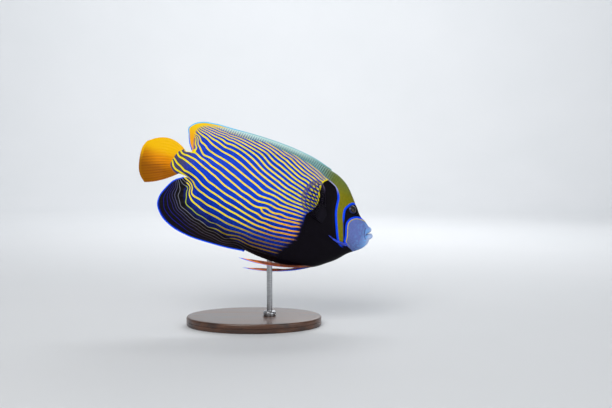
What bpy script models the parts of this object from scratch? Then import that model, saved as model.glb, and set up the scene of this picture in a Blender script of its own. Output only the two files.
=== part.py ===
"""Emperor angelfish, life size, as a still model held by one rod on a flat oval base.

The fish is drawn in its own frame, in millimetres: "back" is the distance behind the tip of the
lower lip, y is to its left and z is up across its back. An empty then pitches it head down, banks
it and lifts it over the base. The stand is drawn in the world's frame.
"""

import math

import bmesh
import bpy
import numpy as np
from mathutils import Matrix, Vector

MM = 0.001

# Place of the fish over its base: the tip of the lower lip, and the tilt of the whole animal.
SNOUT_X = 167.0
SNOUT_Z = 126.0
PITCH = math.radians(18.0)
BANK = math.radians(-9.0)

# Parting planes of the flesh, in millimetres behind the snout, and the gap kept between pieces.
SNOUT_START = 1.5
HEAD_END = 66.0
FRONT_END = 150.0
MIDDLE_END = 232.0
STALK_END = 290.0
GAP = 0.3
FIN_GAP = 0.4

# Flesh, without the fins: height of the back and of the belly, half width and half ridge width.
BACK_LINE = [(0, -3), (1.5, 0), (3, 3), (5, 6.5), (8, 9), (12, 12), (17, 16), (24, 20), (31, 27.5),
             (41, 40.4), (54, 55), (65, 63), (81, 69), (100, 71.5), (130, 71), (165, 68.5),
             (200, 63.5), (230, 56.5), (252, 48), (270, 39.5), (281, 35), (292, 33)]
BELLY_LINE = [(0, -5), (1.5, -8.5), (5, -15), (10, -23), (14, -28.7), (19, -30.2), (26, -35.5),
              (38, -48), (50, -57.5), (62, -66), (75, -72), (90, -76.2), (108, -78.2), (130, -78.4),
              (152, -77), (172, -73.6), (192, -67), (212, -56.5), (230, -43), (245, -28),
              (257, -14.5), (267, -5.5), (277, -1.6), (292, -0.5)]
HALF_WIDTH = [(0, 2.2), (1.5, 3.4), (5, 6), (12, 9.8), (22, 14), (36, 19.5), (52, 23.5), (70, 26.3),
              (95, 28), (122, 27.6), (150, 25.6), (180, 22), (210, 17.8), (240, 13), (265, 9),
              (292, 6)]
HALF_RIDGE = [(0, 1), (20, 2), (80, 2.9), (150, 3), (230, 2.5), (292, 1.6)]
HEAD_POWER = 0.9
TRUNK_POWER = 1.2

# Edge of each fin, as points of back and z.
DORSAL_EDGE = [(84, 71.4), (110, 79), (140, 83.5), (187, 85.6), (235, 84.4), (264, 83.3), (280, 80.5),
               (291, 74.5), (296.6, 66.5), (293.6, 57.5), (288, 45), (281.8, 36.6)]
DORSAL_START = 82.0
DORSAL_STOP = 280.5
DORSAL_SPLIT = 0.5
ANAL_EDGE = [(165, -76.9), (188, -79.6), (213, -80.9), (250, -80.4), (275, -75), (294, -64.5),
             (304.5, -50), (305, -38), (300.5, -25), (291, -10), (281, -3.2)]
ANAL_START = 164.0
ANAL_STOP = 272.0
TAIL_EDGE = [(350, 30.8), (353.2, 22), (352.8, 10), (350.5, -2), (346, -14), (340.5, -21),
             (333.4, -26.5)]
TAIL_BOW_TOP = 12.2
TAIL_BOW_LOW = -3.8

# Rays of each fin, and the rows of its mesh from root to edge.
SPINY_RAYS = 14
SOFT_RAYS = 18
ANAL_RAYS = 19
TAIL_RAYS = 17
PECTORAL_RAYS = 14
PELVIC_RAYS = 5
RIDGE_HEIGHT = 0.42
EDGE_HALF = 0.3

# Paired fins: rim of the pectoral's fan and its spread, and the ends of the pelvic's outer and inner rays.
PECTORAL_ROOT = (70.5, 4.0), (73.5, -7.5)
PECTORAL_RIM = [(84, 38), (92, 44.5), (102, 41), (109, 29), (110, 14), (103, 1)]
PECTORAL_SPREAD = 27.0
PECTORAL_BOW = (0, 2, 0), (0, 2, 0)
PELVIC_ROOT = 65.0, 77.0
PELVIC_BOW = (0, 2.5, -6.5), (0, 2.5, -2.0)
PELVIC_TIP = {"right": (168.6, -87.6), "left": (161.0, -99.0)}
PELVIC_INNER = {"right": (118.0, -78.5), "left": (113.0, -85.0)}

# Head fittings.
EYE_PLACE = 38.0, 25.0
EYE_RADIUS = 7.2
EYE_DEPTH = 4.6
GILL_LOW, GILL_HIGH = -29.0, 45.0
GILL_REAR = [(-30, 48), (-18, 49.5), (-8, 53), (4, 58), (15, 61.2), (25, 62.4), (36, 62), (46, 59)]
GILL_FRONT = [(-30, 43.5), (-18, 41.5), (-8, 42), (4, 45), (15, 47), (25, 49), (36, 51.5), (46, 55)]
SPINE_PATH = [(32, -24.5), (41, -25.2), (50, -23.8), (59, -20.6)]
NOSTRILS = (29.5, 19.5), (32.5, 17.0)
UPPER_LIP = [(12.2, 7.6, -4.6), (9.6, 6.6, 0.6), (7.4, 3.8, 4.4), (6.7, 0, 5.6)]
LOWER_LIP = [(12.4, 7.0, -8.0), (7.6, 6.2, -5.4), (3.6, 3.3, -2.6), (2.7, 0, -1.9)]
LIP_CORNER = 1.1

# Stand.
BASE_LENGTH = 190.0
BASE_WIDTH = 132.0
BASE_HEIGHT = 13.0
BASE_BEVEL = 3.0
ROD_RADIUS = 4.0
ROD_BACK = 127.0
ROD_DEPTH = 4.0
COLLAR_RADIUS = 9.0
COLLAR_HEIGHT = 7.0


def smooth_line(points):
    """A function through the points: a cubic in each span, with the slope of its neighbours."""
    x, y = np.array(points, float).T
    slope = np.gradient(y, x)

    def at(value):
        value = np.clip(np.asarray(value, float), x[0], x[-1])
        i = np.clip(np.searchsorted(x, value) - 1, 0, len(x) - 2)
        span = x[i + 1] - x[i]
        s = (value - x[i]) / span
        start = (2 * s ** 3 - 3 * s ** 2 + 1) * y[i] + (s ** 3 - 2 * s ** 2 + s) * span * slope[i]
        end = (3 * s ** 2 - 2 * s ** 3) * y[i + 1] + (s ** 3 - s ** 2) * span * slope[i + 1]
        return start + end

    return at


def smooth_path(points):
    """A function of a share of the length, 0 to 1, along a smooth path through the points."""
    points = np.array(points, float)
    steps = np.linalg.norm(np.diff(points, axis=0), axis=1)
    share = np.concatenate([[0], np.cumsum(steps)]) / steps.sum()
    axes = [smooth_line(np.column_stack([share, column])) for column in points.T]
    return lambda value: np.stack([axis(value) for axis in axes], -1)


back_line = smooth_line(BACK_LINE)
belly_line = smooth_line(BELLY_LINE)
half_width = smooth_line(HALF_WIDTH)
half_ridge = smooth_line(HALF_RIDGE)


def section_power(back):
    """How sharply the section narrows to its ridges: full in the head, leaner in the trunk."""
    return HEAD_POWER + (TRUNK_POWER - HEAD_POWER) * np.clip((back - 60) / 60, 0, 1)


def swim_bend(back):
    """Sideways shift of the midline: the head turns a little to the right, the tail to the left."""
    tail = np.clip((back - 150) / 200, 0, None) ** 2 * 15
    head = np.clip((90 - back) / 90, 0, None) ** 2 * -3.5
    return tail + head


def flank(back, z):
    """Half width of the flesh at a height: the ridge plus a power of the sine round the section."""
    top = back_line(back)
    low = belly_line(back)
    across = np.clip(2 * (z - low) / (top - low) - 1, -1, 1)
    ridge = half_ridge(back)
    return ridge + (half_width(back) - ridge) * np.sqrt(1 - across ** 2) ** section_power(back)


def to_frame(back, y, z):
    """Vertices in metres in the fish's frame, with the bend of the midline put in."""
    back, y, z = np.broadcast_arrays(back, y, z)
    return np.stack([-back, y + swim_bend(back), z], -1).reshape(-1, 3) * MM


def material(name, colour, roughness, metallic=0.0):
    """A Principled finish in one colour."""
    made = bpy.data.materials.new(name)
    made.use_nodes = True
    shader = made.node_tree.nodes["Principled BSDF"]
    shader.inputs["Base Color"].default_value = (*colour, 1)
    shader.inputs["Roughness"].default_value = roughness
    shader.inputs["Metallic"].default_value = metallic
    return made


def add_object(name, mesh, finish, collection, parent=None):
    """One named object in its collection, smooth but for sharp edges, with its own finish."""
    mesh.name = name
    mesh.shade_smooth()
    mesh.set_sharp_from_angle(angle=math.radians(40))
    obj = bpy.data.objects.new(name, mesh)
    if finish:
        mesh.materials.append(finish)
    collection.objects.link(obj)
    obj.parent = parent
    return obj


def solid_mesh(vertices, faces):
    """A mesh whose faces all point out of the closed body."""
    mesh = bpy.data.meshes.new("solid")
    mesh.from_pydata([tuple(v) for v in vertices], [], faces)
    shape = bmesh.new()
    shape.from_mesh(mesh)
    bmesh.ops.recalc_face_normals(shape, faces=shape.faces)
    shape.to_mesh(mesh)
    shape.free()
    return mesh


def loft(rings):
    """A closed body through rings of the same count, with a flat face over each end."""
    count, around = rings.shape[:2]
    index = np.arange(count * around).reshape(count, around)
    following = np.roll(index, -1, axis=1)
    sides = np.stack([index[:-1], following[:-1], following[1:], index[1:]], -1).reshape(-1, 4)
    faces = sides.tolist() + [index[0].tolist(), index[-1].tolist()]
    return solid_mesh(rings.reshape(-1, 3), faces)


def plate(middle, half):
    """A thin closed body: two faces half a thickness off a grid, split into the same triangles."""
    across, along = middle.shape[:2]
    vertices = np.concatenate([(middle + half).reshape(-1, 3), (middle - half).reshape(-1, 3)])
    index = np.arange(across * along).reshape(across, along)
    a, b, c, d = index[:-1, :-1], index[1:, :-1], index[1:, 1:], index[:-1, 1:]
    upper = np.concatenate([np.stack([a, b, c], -1).reshape(-1, 3), np.stack([a, c, d], -1).reshape(-1, 3)])
    rim = np.concatenate([index[:-1, 0], index[-1, :-1], index[:0:-1, -1], index[0, :0:-1]])
    after = np.roll(rim, -1)
    other = across * along
    walls = np.concatenate([np.stack([rim, after, after + other], -1),
                            np.stack([rim, after + other, rim + other], -1)])
    lower = upper[:, ::-1] + other
    return solid_mesh(vertices, np.concatenate([upper, lower, walls]).tolist())


def tube(path, radius, sides, up, grow=0.0, flatten=1.0):
    """A closed tube round a path of back, y and z, its sections square to it.

    up is a direction that the path never takes, grow is added to the radius and at both ends, and
    flatten narrows the tube across up.
    """
    along = np.gradient(path, axis=0)
    along /= np.linalg.norm(along, axis=1)[:, None]
    path = path.copy()
    path[0] -= along[0] * grow
    path[-1] += along[-1] * grow
    sideways = np.cross(along, up)
    sideways /= np.linalg.norm(sideways, axis=1)[:, None]
    upward = np.cross(sideways, along)
    angle = np.arange(sides) * math.tau / sides
    ring = sideways[:, None] * np.cos(angle)[:, None] * flatten + upward[:, None] * np.sin(angle)[:, None]
    points = path[:, None] + ring * (radius + grow)[:, None, None]
    return loft(to_frame(points[..., 0], points[..., 1], points[..., 2]).reshape(*points.shape))


def cut(obj, cutter):
    """A live difference by the exact solver."""
    change = obj.modifiers.new("cut_" + cutter.name, "BOOLEAN")
    change.operation = "DIFFERENCE"
    change.solver = "EXACT"
    change.object = cutter


def flesh(stations, around):
    """The trunk between the first and last station, as rings from back to belly and up again."""
    turn = np.linspace(0, math.pi, around)[None]
    back = np.asarray(stations, float)[:, None]
    top = back_line(back)
    low = belly_line(back)
    ridge = half_ridge(back)
    side = ridge + (half_width(back) - ridge) * np.sin(turn).clip(0) ** section_power(back)
    height = (top + low) / 2 + (top - low) / 2 * np.cos(turn)
    y = np.concatenate([side, -side[:, ::-1]], 1)
    z = np.concatenate([height, height[:, ::-1]], 1)
    return loft(to_frame(back, y, z).reshape(*y.shape, 3))


def ray_comb(rays):
    """Places across a fin, one at each ray and one midway, and the ridge that each place carries."""
    places = np.linspace(0, 1, 2 * rays - 1)
    ridge = np.where(np.arange(2 * rays - 1) % 2 == 0, RIDGE_HEIGHT, 0.0)
    return places, ridge


def median_fin(root, edge, bow, root_half, rays, rows, sway=0.0):
    """A fin in the midline: each ray runs from the root line to the edge, bowed, ridge on ridge.

    root, edge and bow give back and z for an array of places across the fin, root_half its half
    thickness at the root. The thickness falls off in the first third of the ray.
    """
    places, ridge = ray_comb(rays)
    v = (np.linspace(0, 1, rows + 1) ** 1.25)[None]
    start, end, curve = root(places)[:, None], edge(places)[:, None], bow(places)[:, None]
    points = start * (1 - v[..., None]) + end * v[..., None] + curve * (4 * v * (1 - v))[..., None]
    fall = np.clip(1 - v / 0.45, 0, 1) ** 1.5
    membrane = EDGE_HALF + 0.25 * (1 - v)
    half = membrane + (root_half(places)[:, None] - membrane) * fall
    half = half + ridge[:, None] * np.clip(v / 0.3, 0, 1) * (1.08 - v)
    lean = sway * v ** 2 * np.ones_like(half)
    middle = to_frame(points[..., 0], lean, points[..., 1]).reshape(*half.shape, 3)
    return plate(middle, half[..., None] * np.array([0, MM, 0]))


def no_bow(places):
    return np.zeros((len(places), 2))


def make_flesh(fish, finishes, pose):
    """Head, two lengths of trunk and the tail stalk, parted by thin gaps."""
    snout = [SNOUT_START, 3, 5, 7.5, 10, 12, 14, 16.5, 19.5]
    head = flesh(snout + list(np.linspace(23, HEAD_END, 14)), 21)
    front = flesh(np.linspace(HEAD_END + GAP, FRONT_END, 10), 17)
    middle = flesh(np.linspace(FRONT_END + GAP, MIDDLE_END, 10), 17)
    stalk = flesh(np.linspace(MIDDLE_END + GAP, STALK_END, 9), 17)
    made = {}
    for name, mesh in (("head", head), ("body_front", front), ("body_middle", middle), ("tail_stalk", stalk)):
        made[name] = add_object(name, mesh, finishes[name], fish, pose)
    return made


def make_median_fins(fish, finishes, pose):
    """Spiny and soft dorsal fin, anal fin and tail fin."""
    dorsal_edge = smooth_path(DORSAL_EDGE)
    anal_edge = smooth_path(ANAL_EDGE)
    tail_edge = smooth_path(TAIL_EDGE)
    split_gap = GAP / 2 / (DORSAL_STOP - DORSAL_START)

    def dorsal(first, last, rays, sway):
        def share(places):
            return first + (last - first) * places

        def root(places):
            back = DORSAL_START + (DORSAL_STOP - DORSAL_START) * share(places)
            return np.stack([back, back_line(back) + FIN_GAP], -1)

        return median_fin(root, lambda places: dorsal_edge(share(places)), no_bow,
                          lambda places: half_ridge(root(places)[:, 0]) - 0.3, rays, 5, sway)

    def anal_root(places):
        back = ANAL_START + (ANAL_STOP - ANAL_START) * places
        return np.stack([back + FIN_GAP / 2, belly_line(back) - FIN_GAP], -1)

    def tail_root(places):
        top, low = back_line(STALK_END) - 0.4, belly_line(STALK_END) + 0.4
        return np.stack([np.full_like(places, STALK_END + FIN_GAP), top + (low - top) * places], -1)

    def tail_bow(places):
        rise = TAIL_BOW_TOP * (1 - places) ** 2 + TAIL_BOW_LOW * places ** 2
        return np.stack([np.zeros_like(places), rise], -1)

    def tail_half(places):
        return 0.8 + 4.2 * np.sqrt(np.clip(1 - (2 * places - 1) ** 2, 0, 1))

    spiny = dorsal(0, DORSAL_SPLIT - split_gap, SPINY_RAYS, 0.0)
    soft = dorsal(DORSAL_SPLIT + split_gap, 0.995, SOFT_RAYS, 0.0)
    anal = median_fin(anal_root, anal_edge, no_bow,
                      lambda places: half_ridge(anal_root(places)[:, 0]) - 0.3, ANAL_RAYS, 5)
    tail = median_fin(tail_root, tail_edge, tail_bow, tail_half, TAIL_RAYS, 6, 5.0)
    for name, mesh in (("dorsal_fin_spiny", spiny), ("dorsal_fin_soft", soft), ("anal_fin", anal),
                       ("tail_fin", tail)):
        add_object(name, mesh, finishes[name], fish, pose)


def paired_fin(root, tip, bows, root_half, side, rays, rows):
    """A fin off the flank: rays from root to tip, in back, y and z, thick along the body at the root.

    bows are the bends of the first and last ray, and side is 1 on the left and -1 on the right. The
    half thickness turns from the body's length at the root to the blade's own normal further out.
    """
    places, ridge = ray_comb(rays)
    v = (np.linspace(0, 1, rows + 1) ** 1.2)[None, :, None]
    first, last = np.array(bows, float)
    bow = (first + (last - first) * places[:, None])[:, None]
    middle = root(places)[:, None] * (1 - v) + tip(places)[:, None] * v + bow * 4 * v * (1 - v)
    middle = middle * [1, side, 1]
    normal = np.cross(np.gradient(middle, axis=0), np.gradient(middle, axis=1))
    normal /= np.linalg.norm(normal, axis=2)[..., None]
    lengthwise = np.array([1.0, 0, 0]) * np.sign(normal[:, :, :1])
    turned = np.clip(v / 0.25, 0, 1)
    direction = lengthwise * (1 - turned) + normal * turned
    direction /= np.linalg.norm(direction, axis=2)[..., None]
    half = EDGE_HALF + (root_half - EDGE_HALF) * np.clip(1 - v / 0.5, 0, 1)
    half = half + ridge[:, None, None] * 0.7 * np.clip(v / 0.3, 0, 1) * (1.05 - v)
    shape = middle.shape
    middle = to_frame(middle[..., 0], middle[..., 1], middle[..., 2]).reshape(shape)
    return plate(middle, direction * half * [-MM, MM, MM])


def make_paired_fins(fish, finishes, pose):
    """Pectoral and pelvic fin of each side."""
    rim = smooth_path(PECTORAL_RIM)

    def pectoral_root(places):
        (back0, z0), (back1, z1) = PECTORAL_ROOT
        back = back0 + (back1 - back0) * places
        z = z0 + (z1 - z0) * places
        return np.stack([back, flank(back, z) + FIN_GAP + 0.1, z], -1)

    def pectoral_tip(places):
        edge = rim(places)
        reach = flank(PECTORAL_ROOT[0][0], 0) + PECTORAL_SPREAD - 5 * (2 * places - 1) ** 2
        return np.stack([edge[:, 0], reach, edge[:, 1]], -1)

    for side, sign in (("left", 1), ("right", -1)):
        fan = paired_fin(pectoral_root, pectoral_tip, PECTORAL_BOW, 1.3, sign, PECTORAL_RAYS, 5)
        add_object("pectoral_fin_" + side, fan, finishes["pectoral_fin"], fish, pose)

        def pelvic_root(places):
            back = PELVIC_ROOT[0] + (PELVIC_ROOT[1] - PELVIC_ROOT[0]) * places
            y = 7.0 + 3.0 * places
            low = belly_line(back)
            ridge = half_ridge(back)
            across = ((y - ridge) / (half_width(back) - ridge)) ** (1 / section_power(back))
            rise = (back_line(back) - low) / 2 * (1 - np.sqrt(1 - across ** 2))
            return np.stack([back, y, low + rise - 2 * FIN_GAP], -1)

        def pelvic_tip(places):
            outer, inner = PELVIC_TIP[side], PELVIC_INNER[side]
            back = outer[0] + (inner[0] - outer[0]) * places ** 0.8
            z = outer[1] + (inner[1] - outer[1]) * places ** 0.8
            return np.stack([back, 14.0 + 1.0 * places, z], -1)

        blade = paired_fin(pelvic_root, pelvic_tip, PELVIC_BOW, 1.0, sign, PELVIC_RAYS, 8)
        add_object("pelvic_fin_" + side, blade, finishes["pelvic_fin"], fish, pose)


def gill_patch(side, grow, outward, inward):
    """A plate that follows the flank between the front and rear lines of the gill cover.

    grow widens it all round, outward and inward are the heights of its faces off the flank, the
    outer one rising towards the rear.
    """
    v = np.linspace(0, 1, 13)[None]
    u = np.linspace(0, 1, 6)[:, None]
    low, high = GILL_LOW - grow, GILL_HIGH + grow
    z = low + (high - low) * v
    front = smooth_line(GILL_FRONT)(z) - grow
    rear = smooth_line(GILL_REAR)(z) + grow
    rounding = np.sqrt(1 - np.clip(np.abs(2 * v - 1), 0, 0.98) ** 7)
    back = (front + rear) / 2 + (rear - front) * (u - 0.5) * rounding
    z = z + 0 * back
    skin = flank(back, z)
    outer = skin + outward * (0.3 + 0.7 * u)
    inner = skin - inward
    y = side * (outer + inner) / 2
    half = np.zeros((*back.shape, 3))
    half[..., 1] = side * (outer - inner) / 2 * MM
    return plate(to_frame(back, y, z).reshape(*back.shape, 3), half)


def eye_ball(side, radius, segments):
    """A ball sunk in the flank, its pole turned out of it."""
    back, z = EYE_PLACE
    step = 0.5
    slope_back = (flank(back + step, z) - flank(back - step, z)) / (2 * step)
    slope_z = (flank(back, z + step) - flank(back, z - step)) / (2 * step)
    outward = Vector((slope_back, 1.0, -slope_z)).normalized()
    centre = Vector((-back, float(flank(back, z)), z)) - outward * EYE_DEPTH
    centre.y = side * centre.y + float(swim_bend(back))
    outward.y *= side
    shape = bmesh.new()
    turn = outward.to_track_quat("Z", "Y").to_matrix().to_4x4()
    place = Matrix.Translation(centre * MM) @ turn
    bmesh.ops.create_uvsphere(shape, u_segments=segments, v_segments=segments // 2,
                              radius=radius * MM, matrix=place)
    mesh = bpy.data.meshes.new("ball")
    shape.to_mesh(mesh)
    shape.free()
    return mesh


def lip(points, radius, grow):
    """A bent tube from one corner of the mouth round the front to the other, thin at its ends."""
    half = np.array(points, float)
    other = half[-2::-1] * [1, -1, 1]
    share = np.linspace(0, 1, 19)
    path = smooth_path(np.concatenate([half, other]))(share)
    size = LIP_CORNER + (radius - LIP_CORNER) * np.sin(math.pi * share) ** 0.6
    rise = half[-1] - half[0]
    return tube(path, size, 10, [rise[2], 0.0, -rise[0]], grow)


def cheek_spine(side, grow):
    """The spine at the lower corner of the cheek, root sunk in the head and point lying clear of it."""
    share = np.linspace(0, 1, 9)
    path = smooth_path(SPINE_PATH)(share)
    lift = -0.6 + 4.2 * np.clip(share / 0.45, 0, 1)
    y = side * (flank(path[:, 0], path[:, 1]) + lift)
    radius = 2.2 * (1 - share) ** 0.7 + 0.35
    return tube(np.column_stack([path[:, 0], y, path[:, 1]]), radius, 8, [0.0, 0.0, 1.0], grow, 0.75)


def make_head_fittings(fish, cutters, finishes, pose, head):
    """Eyes, lips, gill covers, cheek spines and nostrils, each let into the head."""
    pieces = [("upper_lip", "lip", lip(UPPER_LIP, 2.6, 0), lip(UPPER_LIP, 2.6, GAP)),
              ("lower_lip", "lip", lip(LOWER_LIP, 2.7, 0), lip(LOWER_LIP, 2.7, GAP))]
    for name, sign in (("left", 1), ("right", -1)):
        pieces.append(("eye_" + name, "eye", eye_ball(sign, EYE_RADIUS, 18),
                       eye_ball(sign, EYE_RADIUS + GAP, 18)))
        pieces.append(("gill_cover_" + name, "gill_cover", gill_patch(sign, 0, 1.5, 1.6),
                       gill_patch(sign, GAP, 8, 1.6 + GAP)))
        pieces.append(("cheek_spine_" + name, "cheek_spine", cheek_spine(sign, 0), cheek_spine(sign, GAP)))
    for name, finish, mesh, seat in pieces:
        add_object(name, mesh, finishes[finish], fish, pose)
        cutter = add_object("seat_" + name, seat, None, cutters, pose)
        cut(head, cutter)
    for sign in (1, -1):
        for number, (back, z) in enumerate(NOSTRILS):
            y = sign * float(flank(back, z))
            pit = bmesh.new()
            place = Matrix.Translation(Vector((-back, y + float(swim_bend(back)), z)) * MM)
            bmesh.ops.create_uvsphere(pit, u_segments=8, v_segments=6, radius=1.1 * MM, matrix=place)
            mesh = bpy.data.meshes.new("pit")
            pit.to_mesh(mesh)
            pit.free()
            cut(head, add_object(f"nostril_{number}_{sign}", mesh, None, cutters, pose))


def turned_rod(radius, low, high, x, segments):
    """An upright round bar in the world's frame, x being where it stands along the base."""
    shape = bmesh.new()
    place = Matrix.Translation(Vector((x, 0, (low + high) / 2)) * MM)
    bmesh.ops.create_cone(shape, cap_ends=True, segments=segments, radius1=radius * MM,
                          radius2=radius * MM, depth=(high - low) * MM, matrix=place)
    mesh = bpy.data.meshes.new("bar")
    shape.to_mesh(mesh)
    shape.free()
    return mesh


def make_stand(stand, cutters, finishes, pose, trunk):
    """An oval base, a collar and one rod that runs up into the belly."""
    belly = pose @ (Vector((-ROD_BACK, 0, float(belly_line(ROD_BACK)))) * MM) / MM
    rod_x, rod_top = belly.x, belly.z + ROD_DEPTH

    shape = bmesh.new()
    squash = Matrix.Diagonal((BASE_LENGTH / 2 * MM, BASE_WIDTH / 2 * MM, BASE_HEIGHT * MM, 1))
    bmesh.ops.create_cone(shape, cap_ends=True, segments=64, radius1=1, radius2=1, depth=1,
                          matrix=Matrix.Translation((0, 0, BASE_HEIGHT / 2 * MM)) @ squash)
    mesh = bpy.data.meshes.new("base")
    shape.to_mesh(mesh)
    shape.free()
    base = add_object("stand_base", mesh, finishes["stand_base"], stand)
    rounding = base.modifiers.new("rounding", "BEVEL")
    rounding.width = BASE_BEVEL * MM
    rounding.segments = 2
    rounding.limit_method = "ANGLE"

    bore = turned_rod(ROD_RADIUS + GAP, BASE_HEIGHT - 6, BASE_HEIGHT + 20, rod_x, 32)
    cut(base, add_object("bore_base", bore, None, cutters))
    collar = turned_rod(COLLAR_RADIUS, BASE_HEIGHT + GAP, BASE_HEIGHT + COLLAR_HEIGHT, rod_x, 32)
    collar = add_object("stand_collar", collar, finishes["stand_collar"], stand)
    chamfer = collar.modifiers.new("chamfer", "BEVEL")
    chamfer.width = 1.5 * MM
    chamfer.segments = 1
    chamfer.limit_method = "ANGLE"
    sleeve = turned_rod(ROD_RADIUS + GAP, 0, BASE_HEIGHT + COLLAR_HEIGHT + 9, rod_x, 32)
    cut(collar, add_object("bore_collar", sleeve, None, cutters))
    rod = turned_rod(ROD_RADIUS, BASE_HEIGHT - 6 + GAP, rod_top, rod_x, 32)
    add_object("stand_rod", rod, finishes["stand_rod"], stand)
    socket = turned_rod(ROD_RADIUS + GAP, BASE_HEIGHT, rod_top + GAP, rod_x, 32)
    cut(trunk, add_object("socket_belly", socket, None, cutters))


def make_finishes():
    """One finish for each kind of piece."""
    table = {"head": ((0.22, 0.22, 0.42), 0.5), "body_front": ((0.01, 0.02, 0.12), 0.45),
             "body_middle": ((0.0, 0.1, 0.6), 0.45), "tail_stalk": ((0.15, 0.2, 0.45), 0.45),
             "dorsal_fin_spiny": ((0.35, 0.5, 0.45), 0.5), "dorsal_fin_soft": ((0.8, 0.55, 0.02), 0.5),
             "anal_fin": ((0.02, 0.01, 0.04), 0.5), "tail_fin": ((0.95, 0.5, 0.0), 0.5),
             "pectoral_fin": ((0.05, 0.05, 0.12), 0.4), "pelvic_fin": ((0.75, 0.25, 0.02), 0.5),
             "lip": ((0.3, 0.33, 0.6), 0.4), "eye": ((0.01, 0.01, 0.015), 0.1),
             "gill_cover": ((0.25, 0.24, 0.02), 0.45), "cheek_spine": ((0.0, 0.1, 0.9), 0.35),
             "stand_base": ((0.04, 0.02, 0.012), 0.4)}
    finishes = {name: material(name, colour, rough) for name, (colour, rough) in table.items()}
    finishes["stand_rod"] = material("stand_rod", (0.6, 0.6, 0.6), 0.3, 1.0)
    finishes["stand_collar"] = material("stand_collar", (0.55, 0.55, 0.55), 0.35, 1.0)
    return finishes


def main():
    for obj in list(bpy.data.objects):
        bpy.data.objects.remove(obj)
    collections = []
    for name in ("emperor_angelfish", "cutters"):
        collections.append(bpy.data.collections.new(name))
        bpy.context.scene.collection.children.link(collections[-1])
    fish, cutters = collections
    finishes = make_finishes()
    pose_matrix = (Matrix.Translation(Vector((SNOUT_X, 0, SNOUT_Z)) * MM)
                   @ Matrix.Rotation(BANK, 4, "X") @ Matrix.Rotation(PITCH, 4, "Y"))
    pose = bpy.data.objects.new("fish_pose", None)
    pose.matrix_world = pose_matrix
    fish.objects.link(pose)
    made = make_flesh(fish, finishes, pose)
    make_median_fins(fish, finishes, pose)
    make_paired_fins(fish, finishes, pose)
    make_head_fittings(fish, cutters, finishes, pose, made["head"])
    make_stand(fish, cutters, finishes, pose_matrix, made["body_front"])
    for cutter in cutters.objects:
        cutter.hide_render = True
        cutter.display_type = "WIRE"


main()
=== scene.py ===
"""Looks of the emperor angelfish on its stand: hide, scales, fins, eyes, stand, light and camera.

Lengths of the fish are in millimetres in its own frame, as in the solids: back is the distance
behind the tip of the lower lip, y is to its left and z is up across its back. A surface is a
function of two parameters, worked out on whole arrays. The finished meshes are in metres.
"""

import math

import bpy
import numpy as np
from mathutils import Matrix, Vector


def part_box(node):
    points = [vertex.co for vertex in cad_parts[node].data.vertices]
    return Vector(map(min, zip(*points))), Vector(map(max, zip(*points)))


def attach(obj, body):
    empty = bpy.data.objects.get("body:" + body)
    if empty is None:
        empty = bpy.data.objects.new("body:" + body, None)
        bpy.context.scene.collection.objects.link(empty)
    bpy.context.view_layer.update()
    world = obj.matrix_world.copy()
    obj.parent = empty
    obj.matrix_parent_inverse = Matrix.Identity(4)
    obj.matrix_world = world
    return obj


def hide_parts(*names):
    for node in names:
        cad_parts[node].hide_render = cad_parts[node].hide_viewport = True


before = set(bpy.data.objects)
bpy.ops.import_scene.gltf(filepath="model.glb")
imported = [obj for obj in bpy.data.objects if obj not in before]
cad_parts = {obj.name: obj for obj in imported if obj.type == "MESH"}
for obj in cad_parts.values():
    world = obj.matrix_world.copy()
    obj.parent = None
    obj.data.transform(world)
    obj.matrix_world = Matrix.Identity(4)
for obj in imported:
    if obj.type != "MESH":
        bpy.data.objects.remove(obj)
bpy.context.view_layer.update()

MM = 0.001
SIDES = ("left", 1), ("right", -1)

# Place of the fish over its base, as the solids have it.
SNOUT_X = 167.0
SNOUT_Z = 126.0
PITCH = math.radians(18.0)
BANK = math.radians(-9.0)

# Flesh without the fins: height of the back and of the belly, half width and half ridge width.
BACK_LINE = [(0, -3), (1.5, 0), (3, 3), (5, 6.5), (8, 9), (12, 12), (17, 16), (24, 20), (31, 27.5),
             (41, 40.4), (54, 55), (65, 63), (81, 69), (100, 71.5), (130, 71), (165, 68.5),
             (200, 63.5), (230, 56.5), (252, 48), (270, 39.5), (281, 35), (292, 33)]
BELLY_LINE = [(0, -5), (1.5, -8.5), (5, -15), (10, -23), (14, -28.7), (19, -30.2), (26, -35.5),
              (38, -48), (50, -57.5), (62, -66), (75, -72), (90, -76.2), (108, -78.2), (130, -78.4),
              (152, -77), (172, -73.6), (192, -67), (212, -56.5), (230, -43), (245, -28),
              (257, -14.5), (267, -5.5), (277, -1.6), (292, -0.5)]
HALF_WIDTH = [(0, 2.2), (1.5, 3.4), (5, 6), (12, 9.8), (22, 14), (36, 19.5), (52, 23.5), (70, 26.3),
              (95, 28), (122, 27.6), (150, 25.6), (180, 22), (210, 17.8), (240, 13), (265, 9),
              (292, 6)]
HALF_RIDGE = [(0, 1), (20, 2), (80, 2.9), (150, 3), (230, 2.5), (292, 1.6)]
HEAD_POWER = 0.9
TRUNK_POWER = 1.2
COAT_DEPTH = 0.45
HIDE_START = 19.5
HEAD_END = 66.0
HIDE_END = 290.0

# Rings of the mouth, from inside it over the lips to the snout: the top point, the side point and
# the low point of each, in back, y and z.
MOUTH_RINGS = [((13, -0.8), (13.5, 1.6, -3), (13, -4)), ((7.6, 2.0), (11.8, 3.5, -4.8), (5.6, 1.0)),
               ((5.2, 2.7), (10.8, 4.6, -5.3), (2.6, 1.5)), ((4.2, 6.2), (10.2, 5.6, -5.6), (0, -1.4)),
               ((6.4, 9.3), (10.7, 6.7, -5.8), (0.9, -5.0)), ((9.0, 9.9), (12.0, 6.9, -6.0), (2.9, -7.0)),
               ((12.4, 12.3), (13.8, 8.4, -6.4), (3.6, -12.6)),
               ((17, 15.9), (16.4, 10.9, -6.8), (10, -22.6))]

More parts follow.
